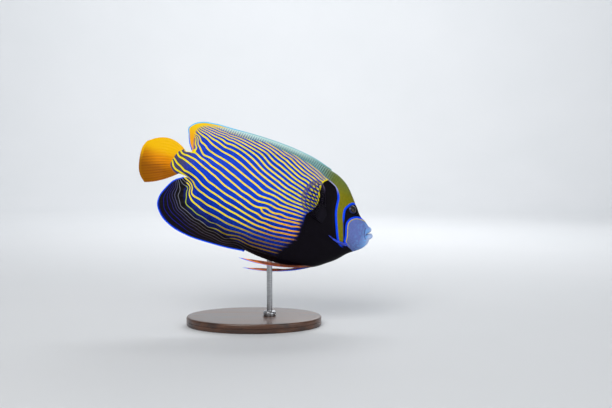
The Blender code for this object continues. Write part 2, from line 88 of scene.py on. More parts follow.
# Edge of each fin in the midline, and where its root begins and ends along the body.
DORSAL_EDGE = [(84, 71.4), (110, 79), (140, 83.5), (187, 85.6), (235, 84.4), (264, 83.3), (280, 80.5),
               (291, 74.5), (296.6, 66.5), (293.6, 57.5), (288, 45), (281.8, 36.6)]
DORSAL_START = 82.0
DORSAL_STOP = 280.5
DORSAL_SPLIT = 0.5
DORSAL_LAST = 0.995
ANAL_EDGE = [(165, -76.9), (188, -79.6), (213, -80.9), (250, -80.4), (275, -75), (294, -64.5),
             (304.5, -50), (305, -38), (300.5, -25), (291, -10), (281, -3.2)]
ANAL_START = 164.0
ANAL_STOP = 272.0
TAIL_EDGE = [(350, 30.8), (353.2, 22), (352.8, 10), (350.5, -2), (346, -14), (340.5, -21),
             (333.4, -26.5)]
TAIL_BOW_TOP = 12.2
TAIL_BOW_LOW = -3.8
TAIL_SWAY = 5.0
ROOT_SINK = 1.2

# Rays of each fin, and the height of a ray over the membrane.
SPINY_RAYS = 14
SOFT_RAYS = 18
ANAL_RAYS = 19
TAIL_RAYS = 17
PECTORAL_RAYS = 14
PELVIC_RAYS = 5
RAY_HEIGHT = 0.42
RAY_COLUMNS = 6

PECTORAL_ROOT = (70.5, 4.0), (73.5, -7.5)
PECTORAL_RIM = [(84, 38), (92, 44.5), (102, 41), (109, 29), (110, 14), (103, 1)]
PECTORAL_SPREAD = 27.0
PELVIC_ROOT = 65.0, 77.0
PELVIC_BOW = (0, 2.5, -6.5), (0, 2.5, -2.0)
PELVIC_TIP = {"right": (168.6, -87.6), "left": (161.0, -99.0)}
PELVIC_INNER = {"right": (118.0, -78.5), "left": (113.0, -85.0)}

# Head: eye, rear line of the gill cover, cheek spine and nostrils.
EYE_PLACE = 38.0, 25.0
EYE_RADIUS = 7.2
EYE_DEPTH = 4.6
GILL_LOW, GILL_HIGH = -29.0, 45.0
GILL_REAR = [(-30, 48), (-18, 49.5), (-8, 53), (4, 58), (15, 61.2), (25, 62.4), (36, 62), (46, 59)]
CHEEK_REAR = [(-26, 33), (-20, 38.5), (-10, 42), (4, 46), (15, 48.5), (25, 50), (33, 50)]
SPINE_PATH = [(32, -24.5), (41, -25.2), (50, -23.8), (59, -20.6)]
NOSTRILS = (29.5, 19.5), (32.5, 17.0)

# Borders of the markings, in back and z, each in the direction that has its far side to the left:
# behind the face, the eye band, the shoulder patch's front and the throat, the patch's rear, below
# the pale back, round the dark anal fin, before the tail, and round the yellow corner of the dorsal.
BORDERS = {
    "face": [(14, 17), (21, 17.5), (26, 17), (30, 16), (34, 13.6), (38, 9.5), (40, 3.5), (39, -3.5),
        (37, -10.5), (35.8, -16), (35.3, -21.5), (30, -26), (22, -29.5), (14, -36)],
    "band": [(30, 34.5), (35, 34.5), (41, 33), (46, 27.5), (49, 21), (48.6, 14.8), (46.8, 7),
        (43.2, -4), (40.3, -13), (38.3, -19), (37.5, -24)],
    "patch": [(88, 52.5), (83.3, 53.5), (75.9, 50.9), (69.8, 47.5), (64.8, 40.7), (61.7, 33.3),
        (60.5, 23.4), (59.3, 14.8), (56.2, 4.9), (51.2, -7.5), (46.3, -18.6), (41.5, -26), (33, -29),
        (22, -31), (10, -36), (-5, -42)],
    "shoulder": [(83.3, 53), (88, 48), (89.5, 39.4), (88, 31), (86.5, 23), (87, 14), (91, 5),
        (97, -2.5), (97.5, -9), (96.5, -17.5), (95.5, -29), (98, -41), (105, -52), (112, -62),
        (120, -80)],
    "nape": [(80, 53), (89.5, 56), (95.5, 59.5), (109, 65.5), (121.5, 69), (131, 72), (149, 74.5),
        (163, 75.5), (179, 79), (192, 77.5), (206, 75.5), (218, 75), (237, 75.8), (252, 77), (268, 79)],
    "under": [(292, -3.5), (277, -4.5), (272.5, -10), (273, -22), (268, -35), (259, -45), (246, -51),
        (228, -57), (205, -63), (175, -66), (140, -67.5), (100, -70)],
    "stalk": [(288, 60), (292, 36), (299.5, 28.4), (303, 18.5), (304.4, 8.6), (298, 1.2), (288, -3)],
    "corner": [(238, 86), (256, 81.5), (272, 78.5), (281, 74.5), (286, 68), (286.5, 61), (285, 52),
        (282.5, 42), (280, 34)]}

# The fold behind the lips, along which the face gets a dark line of painted shade, and a branch of
# the one yellow line that forks.
FOLD_LINE = [(13.5, 6), (13, 2.5), (12.5, -1.5), (11.5, -5), (9, -8.5)]
FORK_LINE = [(97.5, -17.5), (113, -18.5), (129, -20), (137, -19.5), (145, -19.5), (153.5, -18.5),
             (157, -17), (160, -13)]

# Yellow lines of the flank: the number of a line and points that it runs through. The lines between
# these follow from the smooth surface through all of them. Line 5 runs on along the stalk, where the
# lines below it have ended in the anal fin, and the lines under 1 are the anal fin's own.
LINES = {
    -5: [(182, -79.5), (217, -81), (250, -80), (278, -72), (298, -56), (304.5, -39), (297, -20)],
    -4: [(257, -71.5), (282, -61.5), (295.5, -46.5), (296.5, -30)],
    -3: [(273, -59.5), (288.5, -48.5)],
    -2: [(242, -66), (267, -57), (283.5, -44), (291.5, -28.5)],
    -1: [(287.5, -25), (287, -19)],
    0: [(130, -66), (162, -66.5), (196, -68), (214, -64)],
    1: [(108, -59), (131, -61), (164, -61.5), (197, -62), (223, -60), (246, -54), (257, -49),
        (270.5, -43.5), (279, -31), (282, -16.5)],
    2: [(104, -52.5), (133, -56), (166, -55.5), (199, -55.5), (217, -52.5), (238, -48.5), (254, -43),
        (267, -28.5), (269, -16.5)],
    3: [(100, -46.5), (119, -49), (151, -50.5), (184, -48.5), (201, -47), (225.5, -42), (248.5, -35.5),
        (260.5, -29)],
    4: [(99.5, -40.5), (121, -43.5), (153, -44.5), (187, -40), (213, -35), (234, -31), (250, -26),
        (262.5, -20)],
    5: [(96, -34), (123, -37.5), (155, -38), (190, -31.5), (224.5, -23), (246.5, -17), (255.5, -13.5),
        (261, -9.5), (264.5, -6)],
    6: [(95.5, -28), (117, -31), (149, -31.5), (175, -27.5), (193, -23), (211, -19), (235.5, -11.5),
        (251, -5.5), (259.5, -0.5), (267, 2.5), (281.5, 6), (288.5, 10), (297, 14.5), (302.5, 18.5)],
    7: [(96, -22.5), (111, -24.5), (120, -25), (130, -25.5), (143, -25.5), (153, -25.5), (163, -22),
        (177.5, -19.5), (196, -13.5), (214, -9), (231, -3), (243, 1), (257.5, 9), (269, 14), (279, 18),
        (290, 21.5), (300.5, 28)],
    8: [(99, -12.5), (114, -14), (131, -13.5), (152.5, -11.5), (166.5, -13.5), (181, -9.5),
        (199.5, -3.5), (217.5, 1.5), (236, 10.5), (248, 15.5), (258.5, 19.5), (271.5, 25), (285, 27.5),
        (296.5, 32)],
    9: [(100.5, -7.5), (125, -7.5), (141, -7), (152.5, -5), (166, -5.5), (193, 2), (214.5, 11),
        (245.5, 22.5), (258.5, 28), (270, 32.5), (280, 34), (290, 33.5), (277, 44), (280, 49.5),
        (283.5, 56.5)],
    10: [(102.5, -3), (135, -1.5), (152, 2), (169, 3), (187.5, 10), (200.5, 15), (216, 21), (243.5, 31),
        (251, 33.5), (261, 34.8), (268, 40), (275.5, 47.5), (284.5, 58)],
    11: [(104, 2.5), (128.5, 4), (146, 8), (163, 10), (172.5, 14), (186, 19.5), (246, 40),
        (256.5, 43.5), (266.5, 50), (275.5, 56), (282.5, 60.5)],
    12: [(106, 8), (122, 9), (139.5, 13), (157, 17), (174, 23.5), (245, 50), (255, 53.5), (266, 59.3),
        (275.5, 62.5), (283.5, 67)],
    13: [(107.5, 12.5), (124.5, 15.5), (142, 19.5), (160, 26), (248, 59), (260, 62), (271.5, 66),
        (282, 68.8)],
    14: [(103.5, 17), (132, 23), (147, 28.5), (162, 34), (237, 61.5), (252, 65.5), (267, 68.5),
        (279.5, 70.8)],
    15: [(98.5, 21.5), (120, 26.5), (134, 30), (149.5, 36), (165, 42), (230, 67), (248.5, 69.3),
        (264.5, 71), (275.5, 72.8)],
    16: [(101.5, 27), (122, 33), (137, 38), (152, 44), (168, 50.5), (240.5, 72.2), (258.5, 73.6),
        (271.5, 74.8)],
    17: [(103.5, 33), (124, 39.5), (139.5, 46), (155, 52.5), (171, 60), (215, 72.8), (237.5, 74.2),
        (250.5, 75.5)],
    18: [(105, 39.5), (120.5, 44), (133.5, 49.5), (148.5, 57), (162.5, 62.5), (178, 70), (216, 76.5)],
    19: [(94.5, 41.5), (111, 47.5), (127, 53), (142.5, 60), (154, 65), (166.5, 70.5), (179.5, 74.5)],
    20: [(93, 45), (109, 51), (123, 56.5), (135.5, 63), (149, 69), (162.5, 74), (178.5, 78)],
    21: [(87.5, 48), (103, 54), (118.5, 60), (131, 66), (142, 71.5), (155, 75), (169.5, 79.5)],
    22: [(89.5, 52), (104.5, 59), (119.5, 65.5), (130.5, 71), (141.5, 74.5), (154.5, 78)],
    23: [(88, 54.5), (98, 60), (112, 66), (119, 69)]}
STALK_LOW = [(280, 0), (286.5, 2), (294, 4), (299.5, 8), (303.5, 14.5)]

# A distance, in millimetres, that counts as far from any edge.
NO_EDGE = 50.0

# Scales: the step from column to column at places along the body, and the shape of one scale as
# shares of its length and width and its height in millimetres.
SCALE_STEP = [(22, 1.25), (40, 1.45), (62, 1.9), (90, 2.25), (230, 2.2), (290, 1.8)]
SCALE_OUTLINE = [(-0.18, -0.26, -0.3), (-0.18, 0.26, -0.3), (0.22, 0.5, -0.08), (0.64, 0.55, 0.06),
                 (0.96, 0.34, 0.1), (1.1, 0.0, 0.12), (0.96, -0.34, 0.1), (0.64, -0.55, 0.06),
                 (0.22, -0.5, -0.08)]
SCALE_CREST = (0.5, 0.0, 0.3)
SCALE_HEEL = (0.5, 0.0, -0.3)
SCALE_SHAPE = np.array([*SCALE_OUTLINE, SCALE_CREST, SCALE_HEEL])
SCALE_MIDDLE = 0.47
SCALE_OVERLAP = 1.3
ROW_SHARE = 0.92
FIN_SCALE_STEP = 1.9

# The map for the export: where the snout lies on it, its units to a metre of skin and to a scale.
BAKE_START = 0.06
BAKE_RATE = 2.85
BAKE_PATCH = 0.003


def hermite(knots, values):
    """A function through the values at the knots: a cubic in each span, sloped as its neighbours."""
    slope = np.gradient(values, knots, axis=0)

    def at(place):
        place = np.clip(np.asarray(place, float), knots[0], knots[-1])
        i = np.clip(np.searchsorted(knots, place) - 1, 0, len(knots) - 2)
        shape = place.shape + (1,) * (values.ndim - 1)
        span = (knots[i + 1] - knots[i]).reshape(shape)
        s = (place - knots[i]).reshape(shape) / span
        start = (2 * s ** 3 - 3 * s ** 2 + 1) * values[i] + (s ** 3 - 2 * s ** 2 + s) * span * slope[i]
        end = (3 * s ** 2 - 2 * s ** 3) * values[i + 1] + (s ** 3 - s ** 2) * span * slope[i + 1]
        return start + end

    return at


def smooth_line(points):
    """A smooth function through points of place and value."""
    place, value = np.array(points, float).T
    return hermite(place, value)


def smooth_path(points):
    """A function of the share of the length, 0 to 1, along a path through points of any shape."""
    points = np.array(points, float)
    steps = np.linalg.norm(np.diff(points.reshape(len(points), -1), axis=0), axis=1)
    return hermite(np.concatenate([[0], np.cumsum(steps)]) / steps.sum(), points)


def rise(start, end, value):
    """0 below start, 1 above end and a smooth step between."""
    s = np.clip((value - start) / (end - start), 0, 1)
    return s * s * (3 - 2 * s)


def bump(value, width):
    """A hump of height 1 round zero: e to the power of minus the square of value / width."""
    return np.exp(-(value / width) ** 2)


back_line = smooth_line(BACK_LINE)
dorsal_edge = smooth_path(DORSAL_EDGE)
belly_line = smooth_line(BELLY_LINE)
half_width = smooth_line(HALF_WIDTH)
half_ridge = smooth_line(HALF_RIDGE)
gill_rear = smooth_line(GILL_REAR)
cheek_rear = smooth_line(CHEEK_REAR)


def section_power(back):
    """How sharply the section narrows to its ridges: full in the head, leaner in the trunk."""
    return HEAD_POWER + (TRUNK_POWER - HEAD_POWER) * np.clip((back - 60) / 60, 0, 1)


def swim_bend(back):
    """Sideways shift of the midline: the head turns a little to the right, the tail to the left."""
    tail = np.clip((back - 150) / 200, 0, None) ** 2 * 15
    head = np.clip((90 - back) / 90, 0, None) ** 2 * -3.5
    return tail + head


def flank(back, z):
    """Half width of the flesh at a height: the ridge plus a power of the sine round the section."""
    top = back_line(back)
    low = belly_line(back)
    across = np.clip(2 * (z - low) / (top - low) - 1, -1, 1)
    ridge = half_ridge(back)
    return ridge + (half_width(back) - ridge) * np.sqrt(1 - across ** 2) ** section_power(back)


def section(back, turn):
    """A point of the flesh at a turn from the ridge of the back, 0, to the belly's, pi:
    y = ridge + (half width - ridge) * sin(turn) ^ power, z = middle + half height * cos(turn)."""
    top = back_line(back)
    low = belly_line(back)
    ridge = half_ridge(back)
    y = ridge + (half_width(back) - ridge) * np.sin(turn).clip(0) ** section_power(back)
    z = (top + low) / 2 + (top - low) / 2 * np.cos(turn)
    return np.stack(np.broadcast_arrays(back, y, z), -1)


def unit(vectors):
    """The vectors at length one."""
    return vectors / np.linalg.norm(vectors, axis=-1)[..., None]


def relief(back, z):
    """Height of the head's forms over the flesh: the gill cover's step, the cheek's rear ridge, the
    rim and cup of the eye, the rims and pits of the nostrils and the fold behind the jaw."""
    behind = back - gill_rear(z)
    window = rise(GILL_LOW - 2, GILL_LOW + 8, z) * rise(GILL_HIGH + 2, GILL_HIGH - 8, z)
    step = 1.15 * rise(0.5, -0.3, behind) * rise(-16, -1, behind)
    height = window * (step - 0.35 * bump(behind - 1.2, 1.0))
    ridge = back - cheek_rear(z)
    cheek = rise(-27, -20, z) * rise(36, 24, z)
    height = height + cheek * (0.45 * bump(ridge + 1.0, 1.2) - 0.35 * bump(ridge - 0.6, 0.8))
    eye = np.hypot(back - EYE_PLACE[0], z - EYE_PLACE[1])
    height = height + 0.55 * bump(eye - 6.9, 1.1) - 1.8 * rise(6.0, 4.6, eye)
    for place in NOSTRILS:
        away = np.hypot(back - place[0], z - place[1])
        height = height + 0.35 * bump(away - 1.5, 0.55) - 1.1 * bump(away, 0.85)
    return height


def hide(back, turn):
    """The skin's left side: the flesh, sunk by the coat's depth, with the relief along its normal.

    Returns the points and the normals, which come from the slopes along back and turn.
    """
    back, turn = np.broadcast_arrays(np.asarray(back, float), np.asarray(turn, float))
    small = 0.05
    edge = np.clip(turn, small, math.pi - small)
    along = section(back + small, edge) - section(back - small, edge)
    round_it = section(back, edge + small / 2) - section(back, edge - small / 2)
    normal = unit(np.cross(along, round_it))
    point = section(back, turn)
    height = relief(back, point[..., 2]) - COAT_DEPTH
    return point + normal * height[..., None], normal


POSE = (Matrix.Translation(Vector((SNOUT_X, 0, SNOUT_Z)) * MM)
        @ Matrix.Rotation(BANK, 4, "X") @ Matrix.Rotation(PITCH, 4, "Y"))


def placed(points, side=1):
    """World metres of points of the fish's left side or, with side -1, of its right side, with the
    bend of the midline put in."""
    local = np.array(points, float) * [1, side, 1]
    local[..., 1] += swim_bend(local[..., 0])
    local[..., 0] *= -1
    turn = np.array(POSE.to_3x3())
    return local @ turn.T * MM + np.array(POSE.translation)


def beside(line, back, z, run_on=math.inf):
    """Signed distance to a line of points, positive on its left; its end spans run on past its ends
    by so many times their length."""
    start = np.array(line[:-1], float)
    step = np.diff(np.array(line, float), axis=0)
    px = back[..., None] - start[:, 0]
    pz = z[..., None] - start[:, 1]
    low = np.zeros(len(start))
    high = np.ones(len(start))
    low[0] -= run_on
    high[-1] += run_on
    share = np.clip((px * step[:, 0] + pz * step[:, 1]) / (step ** 2).sum(1), low, high)
    off_x = px - share * step[:, 0]
    off_z = pz - share * step[:, 1]
    distance = np.hypot(off_x, off_z)
    signed = np.where(step[:, 0] * off_z < step[:, 1] * off_x, -distance, distance)
    return np.take_along_axis(signed, distance.argmin(-1)[..., None], -1)[..., 0]


def spread_of(line, back, z):
    """Distance to a line of points that ends at its ends."""
    return np.abs(beside(line, back, z, 0))


def curved(line):
    """The line drawn smooth, as many short spans."""
    return smooth_path(line)(np.linspace(0, 1, 6 * len(line)))


def line_field(lines):
    """A function of back and z that is each line's number on that line: a thin plate, the sum of
    weight * r^2 * log(r) over the points, plus a plane."""
    size = 100.0
    known = np.array([(x / size, z / size, n) for n, points in lines.items() for x, z in points], float)

    def kernel(gap_x, gap_z):
        r2 = gap_x ** 2 + gap_z ** 2 + 1e-12
        return 0.5 * r2 * np.log(r2)

    count = len(known)
    system = np.zeros((count + 3, count + 3))
    gap_x = known[:, None, 0] - known[None, :, 0]
    gap_z = known[:, None, 1] - known[None, :, 1]
    system[:count, :count] = kernel(gap_x, gap_z)
    plane = np.column_stack([np.ones(count), known[:, :2]])
    system[:count, count:] = plane
    system[count:, :count] = plane.T
    weights = np.linalg.solve(system, np.concatenate([known[:, 2], np.zeros(3)]))

    def at(back, z):
        flat_x = np.ravel(back) / size
        flat_z = np.ravel(z) / size
        made = weights[count] + weights[count + 1] * flat_x + weights[count + 2] * flat_z
        made += kernel(flat_x[:, None] - known[:, 0], flat_z[:, None] - known[:, 1]) @ weights[:count]
        return made.reshape(np.shape(back))

    return at


# The grid, one millimetre fine, on which the numbers of the lines are worked out once.
GRID_BACK = np.arange(12.0, 320.0)
GRID_LEVEL = np.arange(-104.0, 92.0)


def grid_reader(values):
    """A function of back and z that reads the grid's values, in shares between its four points."""
    def at(back, z):
        u = np.clip(back - GRID_BACK[0], 0, len(GRID_BACK) - 1.01)
        v = np.clip(z - GRID_LEVEL[0], 0, len(GRID_LEVEL) - 1.01)
        i, j = u.astype(int), v.astype(int)
        low = values[i, j] * (1 - u + i) + values[i + 1, j] * (u - i)
        high = values[i, j + 1] * (1 - u + i) + values[i + 1, j + 1] * (u - i)
        return low * (1 - v + j) + high * (v - j)

    return at


def line_readers(number):
    """Readers of a number of lines on the grid and of its pitch, the millimetres from line to line:
    1 / the length of the number's slope."""
    slope_x, slope_z = np.gradient(number)
    return grid_reader(number), grid_reader(np.clip(1 / np.hypot(slope_x, slope_z), 1.5, 14.0))


mesh_back, mesh_level = np.meshgrid(GRID_BACK, GRID_LEVEL, indexing="ij")
all_lines = line_field(LINES)(mesh_back, mesh_level)
stalk_lines = line_field({n: points + STALK_LOW * (n == 5) for n, points in LINES.items() if n >= 5})
stalk_share = rise(244, 256, mesh_back)
body_lines = all_lines * (1 - stalk_share) + stalk_lines(mesh_back, mesh_level) * stalk_share
anal_readers = line_readers(all_lines)
body_readers = line_readers(body_lines)


def top_line(back):
    """Height of the outline's upper edge: the back, and over it the dorsal fin."""
    rim = dorsal_edge(np.linspace(0, 0.7, 200))
    return np.maximum(back_line(back), np.interp(back, rim[:, 0], rim[:, 1], left=0, right=0))


def markings(back, z, part, edge=NO_EDGE):
    """The fields that the finishes read, at points of the fish's side: distances in millimetres to
    each border and below the upper edge, the number of the nearest yellow line and the millimetres
    from line to line. Only the dorsal has the yellow corner, and the hide ends before the tail."""
    number, pitch = anal_readers if part == "anal" else body_readers
    fields = {"back": back, "level": z, "line": number(back, z), "depth": top_line(back) - z,
              "pitch": pitch(back, z), "fork": spread_of(FORK_LINE, back, z),
              "fold": spread_of(FOLD_LINE, back, z), "inset": np.broadcast_to(edge, back.shape)}
    for name, line in BORDERS.items():
        fields[name] = beside(curved(line), back, z)
    if part != "dorsal":
        fields["corner"] = np.full(back.shape, -NO_EDGE)
    if part in ("dorsal", "anal"):
        fields["stalk"] = np.full(back.shape, -NO_EDGE)
    if part == "hide":
        fields["stalk"] = np.minimum(fields["stalk"], back - 286.0)
    return fields


class Wire:
    """A socket of a finish's node tree. A sum of wires and numbers adds the Math nodes for it."""

    def __init__(self, tree, socket=None):
        self.tree = tree
        self.socket = socket

    def node(self, kind, settings, inputs, output=0):
        """A new node: its settings first, then the value or the wire of each socket."""
        made = self.tree.nodes.new(kind)
        for name, value in settings.items():
            setattr(made, name, value)
        for name, value in inputs.items():
            if isinstance(value, Wire):
                self.tree.links.new(value.socket, made.inputs[name])
            else:
                made.inputs[name].default_value = value
        return Wire(self.tree, made.outputs[output])

    def math(self, operation, *values):
        """One Math node over wires and numbers."""
        return self.node("ShaderNodeMath", {"operation": operation}, dict(enumerate(values)))

    def __add__(self, other):
        return self.math("ADD", self, other)

    __radd__ = __add__

    def __sub__(self, other):
        return self.math("SUBTRACT", self, other)

    def __rsub__(self, other):
        return self.math("SUBTRACT", other, self)

    def __mul__(self, other):
        return self.math("MULTIPLY", self, other)

    __rmul__ = __mul__

    def __truediv__(self, other):
        return self.math("DIVIDE", self, other)

    def least(self, other):
        """The smaller of the two."""
        return self.math("MINIMUM", self, other)

    def most(self, other):
        """The larger of the two."""
        return self.math("MAXIMUM", self, other)

    def size(self):
        """The value without its sign."""
        return self.math("ABSOLUTE", self)

    def off_step(self, step):
        """Distance to the nearest whole multiple of the step."""
        return self.math("PINGPONG", self, step / 2)

    def above(self, start, end):
        """0 where the wire is at start, 1 where it is at end, smooth between and flat outside."""
        return self.node("ShaderNodeMapRange", {"interpolation_type": "SMOOTHSTEP"},
                         {"Value": self, "From Min": start, "From Max": end, "To Min": 0.0, "To Max": 1.0})

    def mix(self, first, second):
        """The colour first where the wire is 0 and second where it is 1."""
        return self.node("ShaderNodeMix", {"data_type": "RGBA"}, {0: self, 6: first, 7: second}, 2)

    def field(self, name):
        """A number that the mesh carries at each of its points."""
        return self.node("ShaderNodeAttribute", {"attribute_name": name}, {}, "Fac")

    def place(self):
        """Object coordinates."""
        return self.node("ShaderNodeTexCoord", {}, {}, "Object")

    def noise(self, scale, detail=2.0, stretch=(1.0, 1.0, 1.0), turn=(0.0, 0.0, 0.0)):
        """Soft noise in Object coordinates, 0 to 1, its grain stretched or turned by a Mapping."""
        where = self.node("ShaderNodeMapping", {},
                          {"Vector": self.place(), "Scale": stretch, "Rotation": turn})
        return self.node("ShaderNodeTexNoise", {}, {"Vector": where, "Scale": scale, "Detail": detail})


def rgb(red, green, blue):
    """A display colour of 0 to 255 as the linear colour of a socket."""
    shares = [c / 255 for c in (red, green, blue)]
    return (*[c / 12.92 if c < 0.04045 else ((c + 0.055) / 1.055) ** 2.4 for c in shares], 1.0)


def bumped(start, height, strength, distance):
    """The normal of a Bump over a height of 0 to 1, distance being its full height in metres."""
    return start.node("ShaderNodeBump", {},
                      {"Height": height, "Strength": strength, "Distance": distance})


def layered(colour, *layers):
    """A colour with others laid over it in turn, each given by how far it covers, 0 to 1, and itself."""
    for cover, upper in layers:
        colour = cover.mix(colour, upper)
    return colour


def painted(name, paint):
    """A named material: paint takes the start of its wires and gives what each socket of its shader
    gets, a constant set straight on it or a wire."""
    made = bpy.data.materials.new(name)
    made.use_nodes = True
    shader = made.node_tree.nodes["Principled BSDF"]
    for socket, value in paint(Wire(made.node_tree)).items():
        target = shader.inputs[socket.replace("_", " ")]
        if isinstance(value, Wire):
            made.node_tree.links.new(value.socket, target)
        else:
            target.default_value = value
    return made


YELLOW = rgb(255, 238, 0)
ORANGE = rgb(255, 176, 0)
BLUE = rgb(0, 52, 204)
NAVY = rgb(0, 16, 120)
EDGE_BLUE = rgb(0, 74, 255)
BLACK = rgb(9, 5, 14)
OLIVE = rgb(130, 128, 8)
NAPE = rgb(112, 128, 62)
LAVENDER = rgb(106, 122, 190)


def flank_colour(s):
    """The lined flank: yellow lines with warmer rims on blue. The lines turn orange in front and
    yellow green below; the blue is deeper in front and below and grey violet on the stalk. Lighter
    flecks at random and a painted highlight on each scale's crest lighten the blue."""
    number = s.field("line") + (s.noise(40.0) - 0.5) * 0.07
    apart, level, back = s.field("pitch"), s.field("level"), s.field("back")
    behind, under = s.field("shoulder"), s.field("under")
    slim = 1.0 - behind.above(22.0, 2.0) * level.above(10.0, -6.0) * 0.2
    tinted = number.above(2.6, 2.3) * back.above(196.0, 226.0)
    dull = (under + behind.above(70.0, 10.0) * 8.0).above(-29.0, -8.0) * behind.above(150.0, 60.0)
    half = (apart * 0.205).least(1.15) * slim * (1.0 - tinted * 0.5 - dull * 0.25)
    off = (number.off_step(1.0) * apart - half).least(s.field("fork") - 1.1)
    # Lighter flecks at random, and a painted highlight on the crest of each scale.
    light = s.noise(420.0, 3.0).above(0.4, 0.7) * 0.16 + s.field("crest_highlight") * 0.14
    blue = layered(level.above(-62.0, 14.0).mix(NAVY, BLUE),
                   (behind.above(30.0, 2.0) * level.above(4.0, 24.0) * 0.7, rgb(0, 18, 176)),
                   (light, rgb(10, 112, 255)),
                   (under.above(-17.0, -2.0) * 0.8, rgb(4, 6, 44)),
                   (back.above(266.0, 291.0) * level.above(-7.0, 2.0), rgb(72, 70, 116)))
    yellow = layered(YELLOW,
                     (level.above(12.0, -30.0) * behind.above(84.0, 10.0), ORANGE),
                     (tinted, rgb(176, 206, 36)),
                     (dull * 0.9, rgb(98, 76, 12)),
                     (off.above(-0.5, 0.15) * 0.3, rgb(226, 160, 0)))
    ends = behind + (s.noise(160.0) - 0.5) * 9.0
    line = off.above(0.2, -0.15) * (1.0 - level.above(14.0, -8.0) * ends.above(6.0, 0.0))
    return line.mix(blue, yellow), line


def fin_dark_colour(s):
    """The dark of the anal fin and of the belly before it: black brown with thin lines, blue behind,
    violet and then grey further in, that die away in front."""
    number = s.field("line") + (s.noise(60.0) - 0.5) * 0.1
    apart, back = s.field("pitch"), s.field("back")
    line = (number.off_step(1.0) * apart - (apart * 0.06).least(0.28)).above(0.3, -0.1)
    behind = back.above(226.0, 276.0)
    glow = layered(behind.mix(rgb(36, 22, 48), rgb(8, 14, 160)),
                   (number.above(-3.8, -1.6), behind.mix(rgb(84, 74, 92), rgb(50, 44, 128))),
                   (number.above(-1.4, -0.4), behind.mix(rgb(96, 90, 92), rgb(112, 112, 160))),
                   (number.above(0.3, 0.8),
                    back.above(205.0, 235.0).mix(rgb(112, 104, 26), rgb(140, 144, 160))))
    ground = behind.mix(rgb(14, 6, 8), rgb(6, 3, 12))
    return (line * back.above(110.0, 200.0) * 0.8).mix(ground, glow)


def pale_back_colour(s):
    """The back over the lines: olive at the nape and grey green behind it, with short dark strokes
    that lean forward and are blue on cream near the rear, and a white band along the edge."""
    level, back, depth = s.field("level"), s.field("back"), s.field("depth")
    streak = s.noise(230.0, 2.0, (3.0, 1.0, 0.5)).above(0.35, 0.7)
    stroke = (back + level * 0.21 + (s.noise(110.0) - 0.5) * 0.9).off_step(3.4) / 1.7
    ink = layered(rgb(80, 90, 44),
                  (back.above(70.0, 112.0), rgb(20, 58, 88)),
                  (back.above(170.0, 220.0), rgb(30, 56, 170)))
    shown = stroke.above(0.3, 0.7) * depth.above(0.8, 3.2) * back.above(62.0, 92.0) * 0.85
    white = depth.above(8.5, 2.5) * back.above(92.0, 140.0) * (1.0 - shown * 0.6)
    return layered(OLIVE,
                   (streak * 0.3, rgb(150, 124, 40)),
                   (level.above(34.0, 60.0) * 0.9, NAPE),
                   (back.above(74.0, 104.0), rgb(146, 198, 192)),
                   (back.above(190.0, 232.0), rgb(210, 204, 128)),
                   (shown, ink),
                   (white, rgb(206, 238, 234)),
                   (depth.above(1.7, 0.5) * back.above(66.0, 92.0) * 0.8, rgb(104, 186, 210)))


def tail_colour(s):
    """The tail fin: yellow above, orange in its middle and brown below, a grading that is painted shade
    on its lower half, with dark streaks between the rays there, and a golden rim, darker below in the
    same painted shade."""
    ray, reach = s.field("ray"), s.field("reach")
    level = s.field("level") + (s.noise(70.0) - 0.5) * 5.0
    uneven = (ray * 0.37).off_step(1.0) + 0.35
    between = (ray.off_step(1.0) * 2.0).above(0.35, 0.9)
    streak = between * uneven * reach.above(0.02, 0.4) * level.above(24.0, 4.0)
    # The golden rim, darker below in painted shade.
    rim = level.above(0.0, 20.0).mix(rgb(160, 104, 8), rgb(248, 190, 0))
    # Painted shade: the fin grades from yellow above through orange to brown below, and its outer lower
    # part is darker still.
    return layered(level.above(10.0, 30.0).mix(rgb(240, 146, 0), rgb(255, 196, 0)),
                   (level.above(13.0, -4.0), rgb(168, 96, 2)),
                   (streak * 0.7, rgb(112, 52, 0)),
                   (reach.above(0.22, 0.0) * level.above(-2.0, 10.0) * 0.6, rgb(255, 186, 0)),
                   (reach.above(0.55, 0.92) * level.above(30.0, 8.0) * 0.5, rgb(140, 84, 0)),
                   (reach.above(0.925, 0.96) * 0.7, rim))


def face_colour(s):
    """The face: lavender, darker below, with cyan flecks and a paler snout and lips that are partly its
    own colour and partly painted highlight, and a line of painted shade along the fold at the mouth.
    """
    level, back = s.field("level"), s.field("back")
    flecks = s.noise(300.0, 4.0).above(0.42, 0.68) * back.above(34.0, 10.0)
    rosy = s.noise(190.0, 3.0, (1.0, 1.0, 3.0)).above(0.4, 0.62) * back.above(20.0, 10.0)
    return layered(LAVENDER,
                   (level.above(-8.0, -28.0) * 0.7, rgb(88, 100, 156)),
                   # The cyan flecks, the paler snout and the whitish lips: partly the face's own colour,
                   # partly painted highlight.
                   (flecks * 0.7, rgb(112, 164, 226)),
                   (back.above(19.0, 5.0) * 0.85, rgb(126, 192, 255)),
                   (rosy * 0.5, rgb(150, 140, 196)),
                   (back.above(8.5, 4.5) * 0.75, rgb(190, 206, 244)),
                   # Painted shade: a dark line along the fold behind the lips.
                   (s.field("fold").above(0.9, 0.2) * 0.7, rgb(62, 66, 120)))


